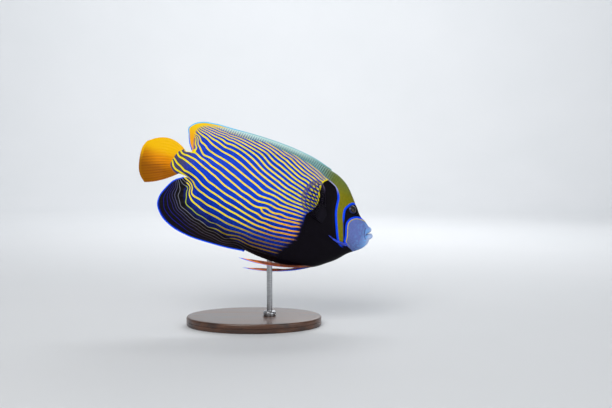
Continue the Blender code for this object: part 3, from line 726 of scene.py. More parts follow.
def hide_colour(s):
    """All markings of the body and of the dorsal and anal fins, each border laid over the last, with the
    painted highlights and shade of the flank, face and tail among them, and painted shade, near black,
    inside the mouth.
    """
    face, band, patch = s.field("face"), s.field("band"), s.field("patch")
    shoulder, level, back = s.field("shoulder"), s.field("level"), s.field("back")
    flank_mix, line = flank_colour(s)
    behind = shoulder.above(-0.6, 0.0)
    dusk = shoulder.above(13.0, 1.0) * level.above(6.0, -22.0) * behind * (1.0 - line * 0.6)
    rim = (shoulder - 0.9).size().above(1.25, 0.8) * level.above(9.0, 18.0) * patch.above(-1.0, 0.6)
    golden = level.above(50.0, 76.0).mix(rgb(252, 170, 0), rgb(255, 212, 0))
    under = s.field("under") + (s.noise(120.0) - 0.5) * 2.0
    hair = (face + 1.9).size().above(0.9, 0.4) * level.above(-27.0, -18.0)
    front = face.size().above(1.6, 1.2) * level.above(-27.0, -23.5)
    slim = level.above(10.0, 0.0)
    rear = ((band + 0.4).size() + slim * 0.8).above(1.65, 1.25) * level.above(-24.0, -19.0)
    thin = level.above(36.0, 50.0)
    edge = ((patch - 0.4).size() + thin * 0.8).above(1.65, 1.25) * shoulder.above(1.0, -3.0)
    trim = s.field("inset").above(1.9, 1.3) * level.above(0.0, -10.0).most(back.above(200.0, 250.0))
    return layered(pale_back_colour(s),
                   (behind * s.field("nape").above(2.2, -0.8), flank_mix),
                   (dusk, BLACK),
                   (rim, YELLOW),
                   (s.field("corner").above(-4.5, 0.5), golden),
                   (under.above(-0.6, 1.6), fin_dark_colour(s)),
                   # The tail's colours on the stalk's end, brown below in painted shade.
                   (s.field("stalk").above(-0.8, 0.6), tail_colour(s)),
                   (band.above(0.3, -0.3), BLACK),
                   (face.above(0.3, -0.3), face_colour(s)),
                   (hair, rgb(214, 192, 0)),
                   (front, EDGE_BLUE),
                   (rear, slim.mix(EDGE_BLUE, rgb(4, 30, 130))),
                   (patch.above(-0.3, 0.3) * shoulder.above(0.6, 0.0), BLACK),
                   (edge * back.above(34.0, 40.0), thin.mix(EDGE_BLUE, rgb(170, 172, 220))),
                   (trim, level.above(30.0, 78.0).mix(rgb(0, 84, 255), rgb(96, 204, 255))),
                   # Painted shade: the inside of the mouth near black.
                   (s.field("inside"), rgb(20, 10, 16)))


def hide_paint(grain, roughness):
    """The painted hide: markings, a fine grain, a satin coat and a slow change of the gloss."""
    def paint(s):
        height = s.noise(1500.0, 3.0) * grain + s.noise(260.0) * (1.0 - grain)
        return {"Base_Color": (s.field("tone").above(1.0, 0.0) * 0.16).mix(hide_colour(s), rgb(0, 0, 0)),
                "Roughness": roughness + (s.noise(90.0) - 0.5) * 0.2,
                "Normal": bumped(s, height, 0.35, 0.0004), "Coat_Weight": 0.02,
                "Coat_Roughness": 0.25, "Specular_IOR_Level": 0.07}

    return paint


def pectoral_paint(s):
    """The pectoral fin: dark rays, lilac at their tips, in a membrane that is black at the root and
    nearly clear further out, so that the yellow lines show between the rays."""
    reach, ray = s.field("reach"), s.field("ray")
    branch = reach.above(0.84, 0.96)
    off = ray.off_step(1.0) * (1.0 - branch) + (ray + 0.25).off_step(0.5) * branch
    on_ray = off.above(0.24, 0.1)
    ray_colour = reach.above(0.98, 0.72).mix(rgb(104, 92, 132), rgb(20, 14, 30))
    return {"Base_Color": on_ray.mix(rgb(8, 5, 14), ray_colour),
            "Roughness": 0.4 + (s.noise(200.0) - 0.5) * 0.15,
            "Alpha": (on_ray * 0.68 + 0.1).most(reach.above(0.5, 0.22)),
            "Coat_Weight": 0.03, "Coat_Roughness": 0.15, "Specular_IOR_Level": 0.1}


def pelvic_paint(s):
    """The pelvic fin: rust orange, a bright blue leading edge with yellow beside it."""
    ray = s.field("ray")
    colour = layered(s.noise(110.0, 3.0).above(0.3, 0.7).mix(rgb(112, 40, 4), rgb(214, 100, 4)),
                     (ray.above(1.6, 4.0) * 0.8, rgb(40, 16, 14)),
                     ((ray.off_step(1.0) * 2.0).above(0.5, 0.9) * 0.4, rgb(60, 22, 10)),
                     ((ray - 0.45).size().above(0.28, 0.16), rgb(255, 150, 4)),
                     (ray.above(0.3, 0.2), rgb(0, 84, 250)),
                     (s.field("reach").above(0.25, 0.0) * 0.85, BLACK))
    return {"Base_Color": colour, "Roughness": 0.45 + (s.noise(150.0) - 0.5) * 0.2,
            "Normal": bumped(s, s.noise(900.0, 3.0), 0.25, 0.0003),
            "Coat_Weight": 0.2, "Coat_Roughness": 0.2}


def eye_paint(s):
    """The eye: black pupil, a thin gold ring, a dark brown iris with fine spokes, wet over all."""
    off, spokes = s.field("off_axis"), s.noise(900.0, 4.0)
    ring = (off - 3.25 + (s.noise(500.0) - 0.5) * 0.3).size().above(0.34, 0.15)
    colour = layered(spokes.above(0.3, 0.7).mix(rgb(10, 6, 12), rgb(32, 17, 15)),
                     (ring * 0.5, rgb(84, 56, 22)),
                     (off.above(3.05, 2.9), rgb(2, 2, 3)),
                     (off.above(4.7, 5.3), rgb(16, 34, 96)))
    return {"Base_Color": colour, "Roughness": 0.3 + (spokes - 0.5) * 0.1,
            "Coat_Weight": 0.5, "Coat_Roughness": 0.03, "Specular_IOR_Level": 0.2}


def spine_paint(s):
    """The cheek spine: deep blue bone, lighter in the streaks of a fine lengthwise grain."""
    grain = s.noise(260.0, 3.0, (0.4, 1.0, 2.0))
    return {"Base_Color": grain.above(0.35, 0.7).mix(rgb(2, 36, 150), EDGE_BLUE),
            "Roughness": 0.3 + (grain - 0.5) * 0.2, "Normal": bumped(s, grain, 0.3, 0.0003),
            "Coat_Weight": 0.4, "Coat_Roughness": 0.12}


def wood_paint(s):
    """The base: dark stained walnut, long grain with darker bands and pores under a satin varnish."""
    bands = s.noise(26.0, 4.0, (0.35, 3.0, 3.0), (0.0, 0.0, 0.08))
    pores = s.noise(420.0, 3.0, (0.06, 1.6, 1.6), (0.0, 0.0, 0.08))
    colour = bands.above(0.32, 0.68).mix(rgb(46, 26, 17), rgb(92, 56, 34))
    return {"Base_Color": (pores.above(0.56, 0.72) * 0.55).mix(colour, rgb(22, 12, 8)),
            "Roughness": 0.34 + (bands - 0.5) * 0.2, "Normal": bumped(s, pores, 0.2, 0.0004),
            "Coat_Weight": 0.35, "Coat_Roughness": 0.2}


def steel_paint(s):
    """Rod and collar: steel brushed round and round, so the grain runs across the rod."""
    brush = s.noise(240.0, 4.0, (0.5, 0.5, 22.0))
    return {"Base_Color": brush.above(0.3, 0.7).mix(rgb(150, 151, 154), rgb(196, 197, 200)),
            "Metallic": 1.0, "Roughness": 0.3 + (brush - 0.5) * 0.25,
            "Normal": bumped(s, brush, 0.12, 0.0002)}


def backdrop_paint(s):
    """The floor and the wall behind it: pale, matt, with the faintest unevenness."""
    tone = s.noise(3.0)
    return {"Base_Color": tone.mix(rgb(208, 211, 214), rgb(214, 216, 219)),
            "Roughness": 0.8 + (tone - 0.5) * 0.1}


def grid_faces(rows, columns, wrap):
    """Quads of a grid of points in row order, its columns closed into rings if wrap is true."""
    index = np.arange(rows * columns).reshape(rows, columns)
    after = np.roll(index, -1, axis=1) if wrap else index[:, 1:]
    index = index if wrap else index[:, :-1]
    quads = np.stack([index[:-1], after[:-1], after[1:], index[1:]], -1)
    return quads.reshape(-1, 4)


def closed_rings(rings, ends=None):
    """Points and faces of a surface through rings, each end shut by a fan round a pole: the middle
    of its ring unless the two ends are given."""
    rows, columns = rings.shape[:2]
    ends = np.stack([rings[0].mean(0), rings[-1].mean(0)]) if ends is None else ends
    first = np.arange(columns)
    last = first + (rows - 1) * columns
    pole = np.full(columns, rows * columns)
    fans = [np.stack([np.roll(first, -1), first, pole], -1),
            np.stack([last, np.roll(last, -1), pole + 1], -1)]
    return np.concatenate([rings.reshape(-1, 3), ends]), [grid_faces(rows, columns, True), *fans]


def turned_out(points, groups):
    """The faces, all turned round if the body that they close has a negative volume."""
    volume = 0.0
    for faces in groups:
        first = points[faces[:, 0]]
        for k in range(1, faces.shape[1] - 1):
            volume += (first * np.cross(points[faces[:, k]], points[faces[:, k + 1]])).sum()
    return groups if volume > 0 else [faces[:, ::-1] for faces in groups]


def add_piece(name, points, groups, finish, nodes, fields=None, sharp=60.0):
    """One closed mesh at the origin that rides on the body, takes its finish and stands for its nodes."""
    points = points.reshape(-1, 3)
    groups = turned_out(points, groups)
    mesh = bpy.data.meshes.new(name)
    mesh.vertices.add(len(points))
    mesh.vertices.foreach_set("co", points.astype(np.float32).ravel())
    corners = np.concatenate([faces.ravel() for faces in groups])
    sizes = np.concatenate([np.full(len(faces), faces.shape[1]) for faces in groups])
    mesh.loops.add(len(corners))
    mesh.loops.foreach_set("vertex_index", corners.astype(np.int32))
    mesh.polygons.add(len(sizes))
    mesh.polygons.foreach_set("loop_start", (np.cumsum(sizes) - sizes).astype(np.int32))
    mesh.polygons.foreach_set("loop_total", sizes.astype(np.int32))
    mesh.update(calc_edges=True)
    mesh.shade_smooth()
    mesh.set_sharp_from_angle(angle=math.radians(sharp))
    for field, values in (fields or {}).items():
        layer = mesh.attributes.new(field, "FLOAT", "POINT")
        layer.data.foreach_set("value", np.ravel(values).astype(np.float32))
    mesh.materials.append(finish)
    piece = bpy.data.objects.new(name, mesh)
    bpy.context.scene.collection.objects.link(piece)
    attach(piece, "root")
    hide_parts(*nodes)
    return piece


def mouth_ring(top, side, low, turn):
    """A ring of the mouth: y = side * sin(turn) ^ 0.9, z and back run from the side point to the
    top or low point with cos(turn) and its square."""
    c = np.cos(turn)
    s = np.sin(turn).clip(0)
    end = np.where(c[:, None] > 0, top, low)
    back = side[0] + (end[:, 0] - side[0]) * c ** 2
    z = side[2] + (end[:, 1] - side[2]) * np.abs(c)
    return np.stack([back, side[1] * s ** 0.9, z], -1)


def make_skin(finish):
    """The whole hide in one surface: the mouth's rings, run smoothly into those of head and trunk."""
    half_turn = np.linspace(0, math.pi, 73)
    rings = [mouth_ring(*ring, half_turn) for ring in MOUTH_RINGS]
    rings += [hide(np.full_like(half_turn, back), half_turn)[0] for back in (HIDE_START, 23.0, 27.0)]
    shares = np.linspace(0, 1, 64)
    stations = np.concatenate([np.arange(27.7, HEAD_END, 0.7), np.linspace(HEAD_END, HIDE_END, 132)])
    left = np.concatenate([smooth_path(rings)(shares), hide(stations[:, None], half_turn[None])[0]])
    around = np.concatenate([left, (left * [1, -1, 1])[:, ::-1]], 1)
    points, faces = closed_rings(around)
    # 1 inside the mouth, where the finish paints shade, near black.
    inside = np.concatenate([rise(0.24, 0.1, shares), np.zeros(len(stations))])
    fields = markings(points[:, 0], points[:, 2], "hide")
    fields["tone"] = np.full(len(points), 0.5)
    fields["inside"] = np.concatenate([np.repeat(inside, around.shape[1]), [1.0, 0.0]])
    add_piece("hide", placed(points), faces, finish,
              ["head", "upper_lip", "lower_lip", "gill_cover_left", "gill_cover_right", "body_front",
               "body_middle", "tail_stalk"], fields)


def coat_mesh(surface, first, second, length, width, lift):
    """Joined scales over a surface of two parameters, one at each pair of first and second.

    Each scale is a closed plate: the outline at shares of the length along first and of the width
    along second, its root sunk and its rear edge lifted, with a crest above and a heel below.
    """
    small = 0.01
    along = surface(first + small, second)[0] - surface(first - small, second)[0]
    across = surface(first, second + small)[0] - surface(first, second - small)[0]
    rate_first = np.linalg.norm(along, axis=-1) / (2 * small)
    rate_second = np.linalg.norm(across, axis=-1) / (2 * small)
    place_first = first[:, None] + SCALE_SHAPE[:, 0] * (length / rate_first)[:, None]
    place_second = second[:, None] + SCALE_SHAPE[:, 1] * (width / rate_second)[:, None]
    points, normals = surface(place_first, place_second)
    points = points + normals * (SCALE_SHAPE[:, 2] * lift[:, None])[..., None]
    sides = len(SCALE_OUTLINE)
    ring = np.arange(sides)
    after = np.roll(ring, -1)
    fan = np.concatenate([np.stack([ring, after, np.full(sides, sides)], -1),
                          np.stack([after, ring, np.full(sides, sides + 1)], -1)])
    faces = (fan[None] + np.arange(len(first))[:, None, None] * len(SCALE_SHAPE)).reshape(-1, 3)
    return points, faces


def coat_fields(points, part, tone, edge=NO_EDGE):
    """The markings of a coat's points, a tone for each scale and 1 at the crest of each, where the
    finish paints a highlight.
    """
    fields = markings(points[..., 0], points[..., 2], part, edge)
    fields["tone"] = np.repeat(tone, points.shape[1])
    crest_highlight = [0.0] * len(SCALE_OUTLINE) + [1.0, 0.0]
    fields["crest_highlight"] = np.tile(crest_highlight, len(points))
    return fields


def bake_map(piece, back, girth, side):
    """The map for the export: each scale a small patch at its root's place, so far back and so far
    round the unwrapped skin, or up on a fin; the left side lies below and the right side above."""
    patch = (SCALE_SHAPE[:, :2] - [SCALE_MIDDLE, 0.0]) * BAKE_PATCH / SCALE_OVERLAP
    u = BAKE_START + back[:, None] * MM * BAKE_RATE + patch[:, 0]
    v = 0.5 - 0.25 * side + girth[:, None] * MM * BAKE_RATE + patch[:, 1]
    layer = piece.data.uv_layers.new(name="OFBake")
    corners = np.empty(len(piece.data.loops), np.int32)
    piece.data.loops.foreach_get("vertex_index", corners)
    layer.data.foreach_set("uv", np.stack([u.ravel(), v.ravel()], -1)[corners].astype(np.float32).ravel())


def column_stations(step, start, stop):
    """Places from start to stop whose spacing follows the step at each place."""
    fine = np.linspace(start, stop, 2000)
    count = np.concatenate([[0], np.cumsum(np.diff(fine) / step(fine[:-1]))])
    return np.interp(np.arange(int(count[-1]) + 1), count, fine)


def body_scales():
    """Back, turn, size and place on the unwrapped skin of every scale root of one side."""
    step = smooth_line(SCALE_STEP)
    stations = column_stations(step, 21.0, HIDE_END - 1.5)
    turns = np.linspace(0.06, math.pi - 0.06, 400)
    made = []
    for number, back in enumerate(stations):
        ring = hide(np.full_like(turns, back), turns)[0]
        girth = np.concatenate([[0], np.cumsum(np.linalg.norm(np.diff(ring, axis=0), axis=1))])
        girth -= np.interp(math.pi / 2, turns, girth)
        row = step(back) * ROW_SHARE
        low, high = math.ceil(girth[0] / row), math.floor(girth[-1] / row)
        rows = (np.arange(low, high) + 0.5 * (number % 2)) * row
        turn = np.interp(rows, girth, turns)
        made.append(np.stack([np.full_like(turn, back), turn, np.full_like(turn, step(back)), rows]))
    back, turn, size, girth = np.concatenate(made, 1)
    z = section(back, turn)[:, 2]
    eye = np.hypot(back - EYE_PLACE[0], z - EYE_PLACE[1])
    near = np.min([np.hypot(back - x, z - y) for x, y in NOSTRILS], axis=0)
    scaly = (back >= 24.5 - 3.0 * rise(4, 14, z)) & (eye >= 7.6) & (near >= 2.3)
    return back[scaly], turn[scaly], size[scaly], girth[scaly]


def make_body_coat(finish):
    """The scales of each flank, from the snout to the root of the tail."""
    back, turn, size, girth = body_scales()
    chance = np.random.default_rng(7)
    for name, sign in SIDES:
        tone = chance.random(len(back))
        jitter = chance.normal(0, 0.05, (2, len(back)))
        lift = np.interp(back, [22, 45, 90], [0.35, 0.6, 1.0]) * (1 + 0.2 * (tone - 0.5))
        points, faces = coat_mesh(hide, back + size * jitter[0], turn, size * SCALE_OVERLAP,
                                  size * ROW_SHARE * (1.12 + jitter[1]), lift)
        piece = add_piece("scales_" + name, placed(points, sign), [faces], finish, [],
                          coat_fields(points, "hide", tone), 50.0)
        bake_map(piece, back, girth, sign)


def comb(number, rays_branch, reach):
    """Height of the rays, 0 to 1, over a membrane: (0.5 + 0.5 * cos(tau * number)) ^ 3, narrow at
    each whole number, and doubled from half way out as far as rays_branch, 0 to 1, says."""
    one = (0.5 + 0.5 * np.cos(math.tau * number)) ** 3
    two = (0.5 + 0.5 * np.cos(math.tau * (2 * number + 0.5))) ** 3
    share = rise(0.45, 0.75, reach) * rays_branch
    return one * (1 - share) + 0.8 * two * share


def plate_faces(across, along):
    """Two faces over a grid, one for each side, and the walls round its rim."""
    index = np.arange(across * along).reshape(across, along)
    upper = grid_faces(across, along, False)
    rim = np.concatenate([index[:-1, 0], index[-1, :-1], index[:0:-1, -1], index[0, :0:-1]])
    after = np.roll(rim, -1)
    other = across * along
    walls = np.stack([rim, after, after + other, rim + other], -1)
    return [np.concatenate([upper, upper[:, ::-1] + other, walls[:, ::-1]])]


class MedianFin:
    """A fin in the midline, a function of the place across it and the reach from root to edge.

    point = root * (1 - reach) + edge * reach + bow * 4 * reach * (1 - reach), with its two faces
    half a thickness to each side: thick at the root, thin at the edge, and raised on the rays.
    """

    def __init__(self, part, root, edge, bow, root_half, ray_number, branched, sway=0.0):
        self.part = part
        self.root, self.edge, self.bow = root, edge, bow
        self.root_half, self.ray_number, self.branched = root_half, ray_number, branched
        self.sway = sway

    def flat(self, place, reach):
        """Back and z of a point of the fin."""
        v = reach[..., None]
        return self.root(place) * (1 - v) + self.edge(place) * v + self.bow(place) * 4 * v * (1 - v)

    def half(self, place, reach):
        """Half the thickness without the rays."""
        membrane = 0.14 + 0.3 * (1 - reach)
        fall = np.clip(1 - reach / 0.45, 0, 1) ** 1.5
        return membrane + (self.root_half(place) - membrane) * fall

    def rays(self, place, reach):
        """Height of the rays over the membrane."""
        number = self.ray_number(place)
        grown = np.clip(reach / 0.25, 0, 1) * (1.1 - reach)
        return RAY_HEIGHT * comb(number, self.branched(number), reach) * grown

    def face(self, reach, place):
        """Points and normals of the left face, its rays nearly flattened, as a coat needs them."""
        place, reach = np.broadcast_arrays(place, reach)
        flat = self.flat(place, reach)
        y = self.sway * reach ** 2 + self.half(place, reach) + 0.3 * self.rays(place, reach)
        point = np.stack([flat[..., 0], y, flat[..., 1]], -1)
        normal = np.zeros_like(point)
        normal[..., 1] = 1.0
        return point, normal

    def edge_distance(self, flat):
        """Millimetres from the fin's edge; the tail's edge has no trim."""
        rim = self.edge(np.linspace(0, 1, 200))
        away = spread_of(rim, flat[..., 0], flat[..., 1])
        return np.full_like(away, NO_EDGE) if self.part == "tail" else away

    def build(self, name, finish, slot, nodes, columns, rows):
        """The fin as one closed plate with its markings."""
        place = np.linspace(0, 1, columns)[:, None]
        reach = (np.linspace(0, 1, rows) ** 1.15)[None]
        place, reach = np.broadcast_arrays(place, reach)
        flat = self.flat(place, reach)
        half = self.half(place, reach) + self.rays(place, reach)
        middle = self.sway * reach ** 2
        points = np.stack([[flat[..., 0], middle + s * half, flat[..., 1]] for s in (1, -1)])
        points = np.moveaxis(points, 1, -1)
        inset = self.edge_distance(flat)
        fields = markings(flat[..., 0], flat[..., 1], self.part, inset)
        fields["ray"] = self.ray_number(place)
        fields["reach"] = reach
        fields["tone"] = np.full(reach.shape, 0.5)
        both = {key: np.tile(np.ravel(value), 2) for key, value in fields.items()}
        add_piece(name, placed(points), plate_faces(columns, rows), finish, nodes, both, 75.0)


def no_bow(place):
    """Straight rays: a bow of nothing in back and z."""
    return np.zeros((*np.shape(place), 2))


def dorsal_fin():
    """The dorsal fin: spines to its middle and branched rays behind them, in one membrane."""
    def root(place):
        back = DORSAL_START + (DORSAL_STOP - DORSAL_START) * place * DORSAL_LAST
        return np.stack([back, back_line(back) - ROOT_SINK], -1)

    def ray_number(place):
        share = place * DORSAL_LAST
        spiny = (SPINY_RAYS - 1) * share / DORSAL_SPLIT
        soft = SPINY_RAYS - 1 + SOFT_RAYS * (share - DORSAL_SPLIT) / (DORSAL_LAST - DORSAL_SPLIT)
        return np.where(share < DORSAL_SPLIT, spiny, soft)

    return MedianFin("dorsal", root, lambda place: dorsal_edge(place * DORSAL_LAST), no_bow,
                     lambda place: half_ridge(root(place)[..., 0]) - 0.2, ray_number,
                     lambda number: (number > SPINY_RAYS).astype(float))


def anal_fin():
    """The anal fin: three short spines and then branched rays."""
    edge = smooth_path(ANAL_EDGE)

    def root(place):
        back = ANAL_START + (ANAL_STOP - ANAL_START) * place
        return np.stack([back, belly_line(back) + ROOT_SINK], -1)

    return MedianFin("anal", root, edge, no_bow, lambda place: half_ridge(root(place)[..., 0]) - 0.2,
                     lambda place: place * (ANAL_RAYS - 1), lambda number: (number > 3).astype(float))


def tail_fin():
    """The tail fin: a rounded fan off the stalk's end, bowed up above and down below."""
    edge = smooth_path(TAIL_EDGE)
    top, low = back_line(HIDE_END) - 0.4, belly_line(HIDE_END) + 0.4

    def root(place):
        back = np.full_like(place, HIDE_END - 1.5)
        return np.stack([back, top + (low - top) * place], -1)

    def bow(place):
        rise_up = TAIL_BOW_TOP * (1 - place) ** 2 + TAIL_BOW_LOW * place ** 2
        return np.stack([np.zeros_like(place), rise_up], -1)

    return MedianFin("tail", root, edge, bow,
                     lambda place: 0.8 + 4.2 * np.sqrt(np.clip(1 - (2 * place - 1) ** 2, 0, 1)),
                     lambda place: place * (TAIL_RAYS - 1), np.ones_like, TAIL_SWAY)


def fin_coat(fin, name, finish, start, stop, seed):
    """Small scales on both faces of a fin from one share of its reach to another, along the rays."""
    step = FIN_SCALE_STEP
    places = np.linspace(0.004, 0.996, 400)
    middle = fin.flat(places, np.full(400, 0.3))
    run = np.concatenate([[0], np.cumsum(np.linalg.norm(np.diff(middle, axis=0), axis=1))])
    columns = np.interp(np.arange(0, run[-1], step), run, places)
    length = np.linalg.norm(fin.edge(columns) - fin.root(columns), axis=1)
    rows = np.arange(0.0, length.max(), step)
    place = np.repeat(columns[None], len(rows), 0)
    reach = (rows[:, None] + step * 0.5 * (np.arange(len(columns)) % 2)[None]) / length[None]
    keep = (reach > start) & (reach < stop)
    place, reach = place[keep], reach[keep]
    chance = np.random.default_rng(seed)
    size = step * (1.0 - 0.35 * reach)
    for side, sign in SIDES:
        tone = chance.random(len(place))
        points, faces = coat_mesh(fin.face, reach, place, size * 1.35, size * 1.1,
                                  np.full(len(place), 0.6) * (1.15 - reach))
        inset = fin.edge_distance(points[..., [0, 2]])
        piece = add_piece(f"{name}_{side}", placed(points, sign), [faces], finish, [],
                          coat_fields(points, fin.part, tone, inset), 50.0)
        bake_map(piece, *fin.flat(place, reach).T, sign)


def paired_fin(name, root, tip, bows, root_half, side, rays, branched, finish, nodes):
    """A fin off the flank: each ray from root to tip in back, y and z, bowed, its faces half a
    thickness off along the blade's own normal, which near the root turns to lie along the body."""
    place = np.linspace(0, 1, (rays - 1) * RAY_COLUMNS + 1)
    v = (np.linspace(0, 1, 33) ** 1.1)[None, :, None]
    first, last = np.array(bows, float)
    bow = (first + (last - first) * place[:, None])[:, None]
    middle = root(place)[:, None] * (1 - v) + tip(place)[:, None] * v + bow * 4 * v * (1 - v)
    middle = middle * [1, side, 1]
    normal = unit(np.cross(np.gradient(middle, axis=0), np.gradient(middle, axis=1)))
    lengthwise = np.array([1.0, 0, 0]) * np.sign(normal[:, :, :1])
    turned = np.clip(v / 0.25, 0, 1)
    direction = unit(lengthwise * (1 - turned) + normal * turned)
    number = place * (rays - 1)
    reach = np.broadcast_to(v[..., 0], middle.shape[:2])
    half = 0.16 + (root_half - 0.16) * np.clip(1 - v[..., 0] / 0.5, 0, 1)
    half = half + 0.3 * comb(number[:, None], branched, reach) * np.clip(reach / 0.3, 0, 1) * (1.05 - reach)
    points = np.stack([middle + s * direction * half[..., None] for s in (1, -1)])
    fields = {"ray": np.tile(np.repeat(number, middle.shape[1]), 2), "reach": np.tile(reach.ravel(), 2)}
    add_piece(name, placed(points), plate_faces(*middle.shape[:2]), finish, nodes, fields, 75.0)


def make_paired_fins(pectoral, pelvic):
    """The pectoral fan and the pelvic blade of each side."""
    rim = smooth_path(PECTORAL_RIM)

    def pectoral_root(place):
        (back0, z0), (back1, z1) = PECTORAL_ROOT
        back = back0 + (back1 - back0) * place
        z = z0 + (z1 - z0) * place
        return np.stack([back, flank(back, z) - COAT_DEPTH - 0.6, z], -1)

    def pectoral_tip(place):
        edge = rim(place)
        reach = flank(PECTORAL_ROOT[0][0], 0) + PECTORAL_SPREAD - 5 * (2 * place - 1) ** 2
        return np.stack([edge[:, 0], reach, edge[:, 1]], -1)

    def pelvic_root(place):
        back = PELVIC_ROOT[0] + (PELVIC_ROOT[1] - PELVIC_ROOT[0]) * place
        y = 7.0 + 3.0 * place
        low = belly_line(back)
        ridge = half_ridge(back)
        across = ((y - ridge) / (half_width(back) - ridge)) ** (1 / section_power(back))
        lift = (back_line(back) - low) / 2 * (1 - np.sqrt(1 - across ** 2))
        return np.stack([back, y, low + lift + 1.0], -1)

    for side, sign in SIDES:
        paired_fin("pectoral_" + side, pectoral_root, pectoral_tip, ((0, 2, 0), (0, 2, 0)), 1.1, sign,
                   PECTORAL_RAYS, 1.0, pectoral, ["pectoral_fin_" + side])

        def pelvic_tip(place):
            outer, inner = PELVIC_TIP[side], PELVIC_INNER[side]
            back = outer[0] + (inner[0] - outer[0]) * place ** 0.8
            z = outer[1] + (inner[1] - outer[1]) * place ** 0.8
            return np.stack([back, 14.0 + 1.0 * place, z], -1)

        paired_fin("pelvic_" + side, pelvic_root, pelvic_tip, PELVIC_BOW, 1.0, sign, PELVIC_RAYS, 0.6,
                   pelvic, ["pelvic_fin_" + side])


def make_eyes(finish):
    """Each eye a ball sunk in the flank, worked out from its pole: ring angle and turn."""
    back, z = EYE_PLACE
    step = 0.5
    slope_back = (flank(back + step, z) - flank(back - step, z)) / (2 * step)
    slope_z = (flank(back, z + step) - flank(back, z - step)) / (2 * step)
    out = unit(np.array([-slope_back, 1.0, -slope_z]))
    centre = np.array([back, float(flank(back, z)), z]) - out * EYE_DEPTH
    side = unit(np.cross(out, [0, 0, 1]))
    up = np.cross(side, out)
    ring = np.linspace(0, math.pi, 41)[1:-1, None, None]
    turn = np.arange(64)[:, None] * math.tau / 64
    around = np.cos(ring) * out + np.sin(ring) * (np.cos(turn) * side + np.sin(turn) * up)
    ball, faces = closed_rings(around, np.stack([out, -out]))
    ball = ball * EYE_RADIUS + centre
    off = np.concatenate([np.repeat(EYE_RADIUS * np.sin(ring), 64), [0.0, 0.0]])
    for name, sign in SIDES:
        add_piece("eye_ball_" + name, placed(ball, sign), faces, finish, ["eye_" + name],
                  {"off_axis": off}, 180.0)


def tube(path, radius, sides, up, flatten):
    """A tube round a path, its rings square to it: radius * (cos, sin) of the turn, both ends shut."""
    along = unit(np.gradient(path, axis=0))
    sideways = unit(np.cross(along, up))
    upward = np.cross(sideways, along)
    angle = np.arange(sides)[:, None] * math.tau / sides
    ring = sideways[:, None] * np.cos(angle) * flatten + upward[:, None] * np.sin(angle)
    return closed_rings(path[:, None] + ring * radius[:, None, None], path[[0, -1]])


def make_cheek_spines(finish):
    """The spine at the lower corner of each cheek, its root sunk and its point lying clear."""
    share = np.linspace(0, 1, 40)
    path = smooth_path(SPINE_PATH)(share)
    lift = -0.6 + 4.0 * np.clip(share / 0.45, 0, 1)
    y = flank(path[:, 0], path[:, 1]) + lift
    radius = 2.1 * (1 - share) ** 0.7 + 0.25
    points, faces = tube(np.column_stack([path[:, 0], y, path[:, 1]]), radius, 20, [0.0, 0.0, 1.0], 0.75)
    for name, sign in SIDES:
        add_piece("spine_blue_" + name, placed(points, sign), faces, finish,
                  ["cheek_spine_" + name])


def turned_part(name, node, finish, segments, profile):
    """A node turned finer than its solid, in the place and the size of its box, round or oval: x and
    y are the box's half width and half depth plus an inset, times cos and sin of the turn. The
    profile is a function of the box's low and high z and gives insets and heights."""
    low, high = (np.array(corner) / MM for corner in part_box(node))
    inset, height = np.array(profile(low[2], high[2]), float).T
    angle = np.arange(segments) * math.tau / segments
    middle, half = (low + high) / 2, (high - low) / 2
    x = middle[0] + (half[0] + inset).clip(0)[:, None] * np.cos(angle)
    y = middle[1] + (half[1] + inset).clip(0)[:, None] * np.sin(angle)
    points, faces = closed_rings(np.stack([x, y, np.repeat(height[:, None], segments, 1)], -1))
    add_piece(name, points * MM, faces, finish, [node], None, 35.0)


def base_profile(low, high):
    """A flat top with a rounded edge, a groove round the middle of the side and a bevelled foot."""
    quarter = np.linspace(0, math.pi / 2, 7)
    edge = [(-2.5 + 2.5 * math.sin(a), high - 2.5 + 2.5 * math.cos(a)) for a in quarter]
    groove = [(0.0, low + 7.4), (-0.7, low + 7.0), (-0.7, low + 6.4), (0.0, low + 6.0)]
    return [(-12.0, high), *edge, *groove, (-0.2, low + 1.2), (-1.4, low), (-14.0, low)]


def collar_profile(low, high):
    """A collar with a chamfered top, a fine groove and a foot that reaches just into the base."""
    return [(-4.0, high), (-2.2, high), (-1.6, high - 0.3), (-0.3, high - 1.5), (0.0, high - 2.0),
            (0.0, low + 2.6), (-0.4, low + 2.3), (-0.4, low + 1.9), (0.0, low + 1.6), (0.0, low + 0.4),
            (-0.3, low - 0.25), (-4.0, low - 0.25)]


def rod_profile(low, high):
    """A plain rod with a rounded top."""
    return [(-2.5, high), (-0.9, high - 0.4), (0.0, high - 1.4), (0.0, low)]


def make_backdrop(finish):
    """Floor and wall in one bowl: flat, then a quarter circle up to an upright wall."""
    flat, bend, wall, segments = 2.4, 1.2, 1.6, 96
    arc = np.linspace(0, math.pi / 2, 16)
    radius = np.concatenate([[flat / 2], flat + bend * np.sin(arc), [flat + bend]])
    height = np.concatenate([[0.0], bend - bend * np.cos(arc), [bend + wall]])
    angle = np.arange(segments) * math.tau / segments
    rings = np.stack([radius[:, None] * np.cos(angle), radius[:, None] * np.sin(angle),
                      np.repeat(height[:, None], segments, 1)], -1)
    walls = grid_faces(len(radius), segments, True)[:, ::-1]
    mesh = bpy.data.meshes.new("backdrop")
    mesh.from_pydata(rings.reshape(-1, 3).tolist(), [], [list(range(segments)), *walls.tolist()])
    mesh.shade_smooth()
    mesh.materials.append(finish)
    backdrop = bpy.data.objects.new("backdrop", mesh)
    bpy.context.scene.collection.objects.link(backdrop)


def add_light(name, place, aim, size, power, colour):
    """A soft square lamp at a place, facing its aim."""
    data = bpy.data.lights.new(name, "AREA")
    data.size = size
    data.energy = power
    data.color = colour
    lamp = bpy.data.objects.new(name, data)
    lamp.location = place
    lamp.rotation_euler = (Vector(aim) - Vector(place)).to_track_quat("-Z", "Y").to_euler()
    bpy.context.scene.collection.objects.link(lamp)


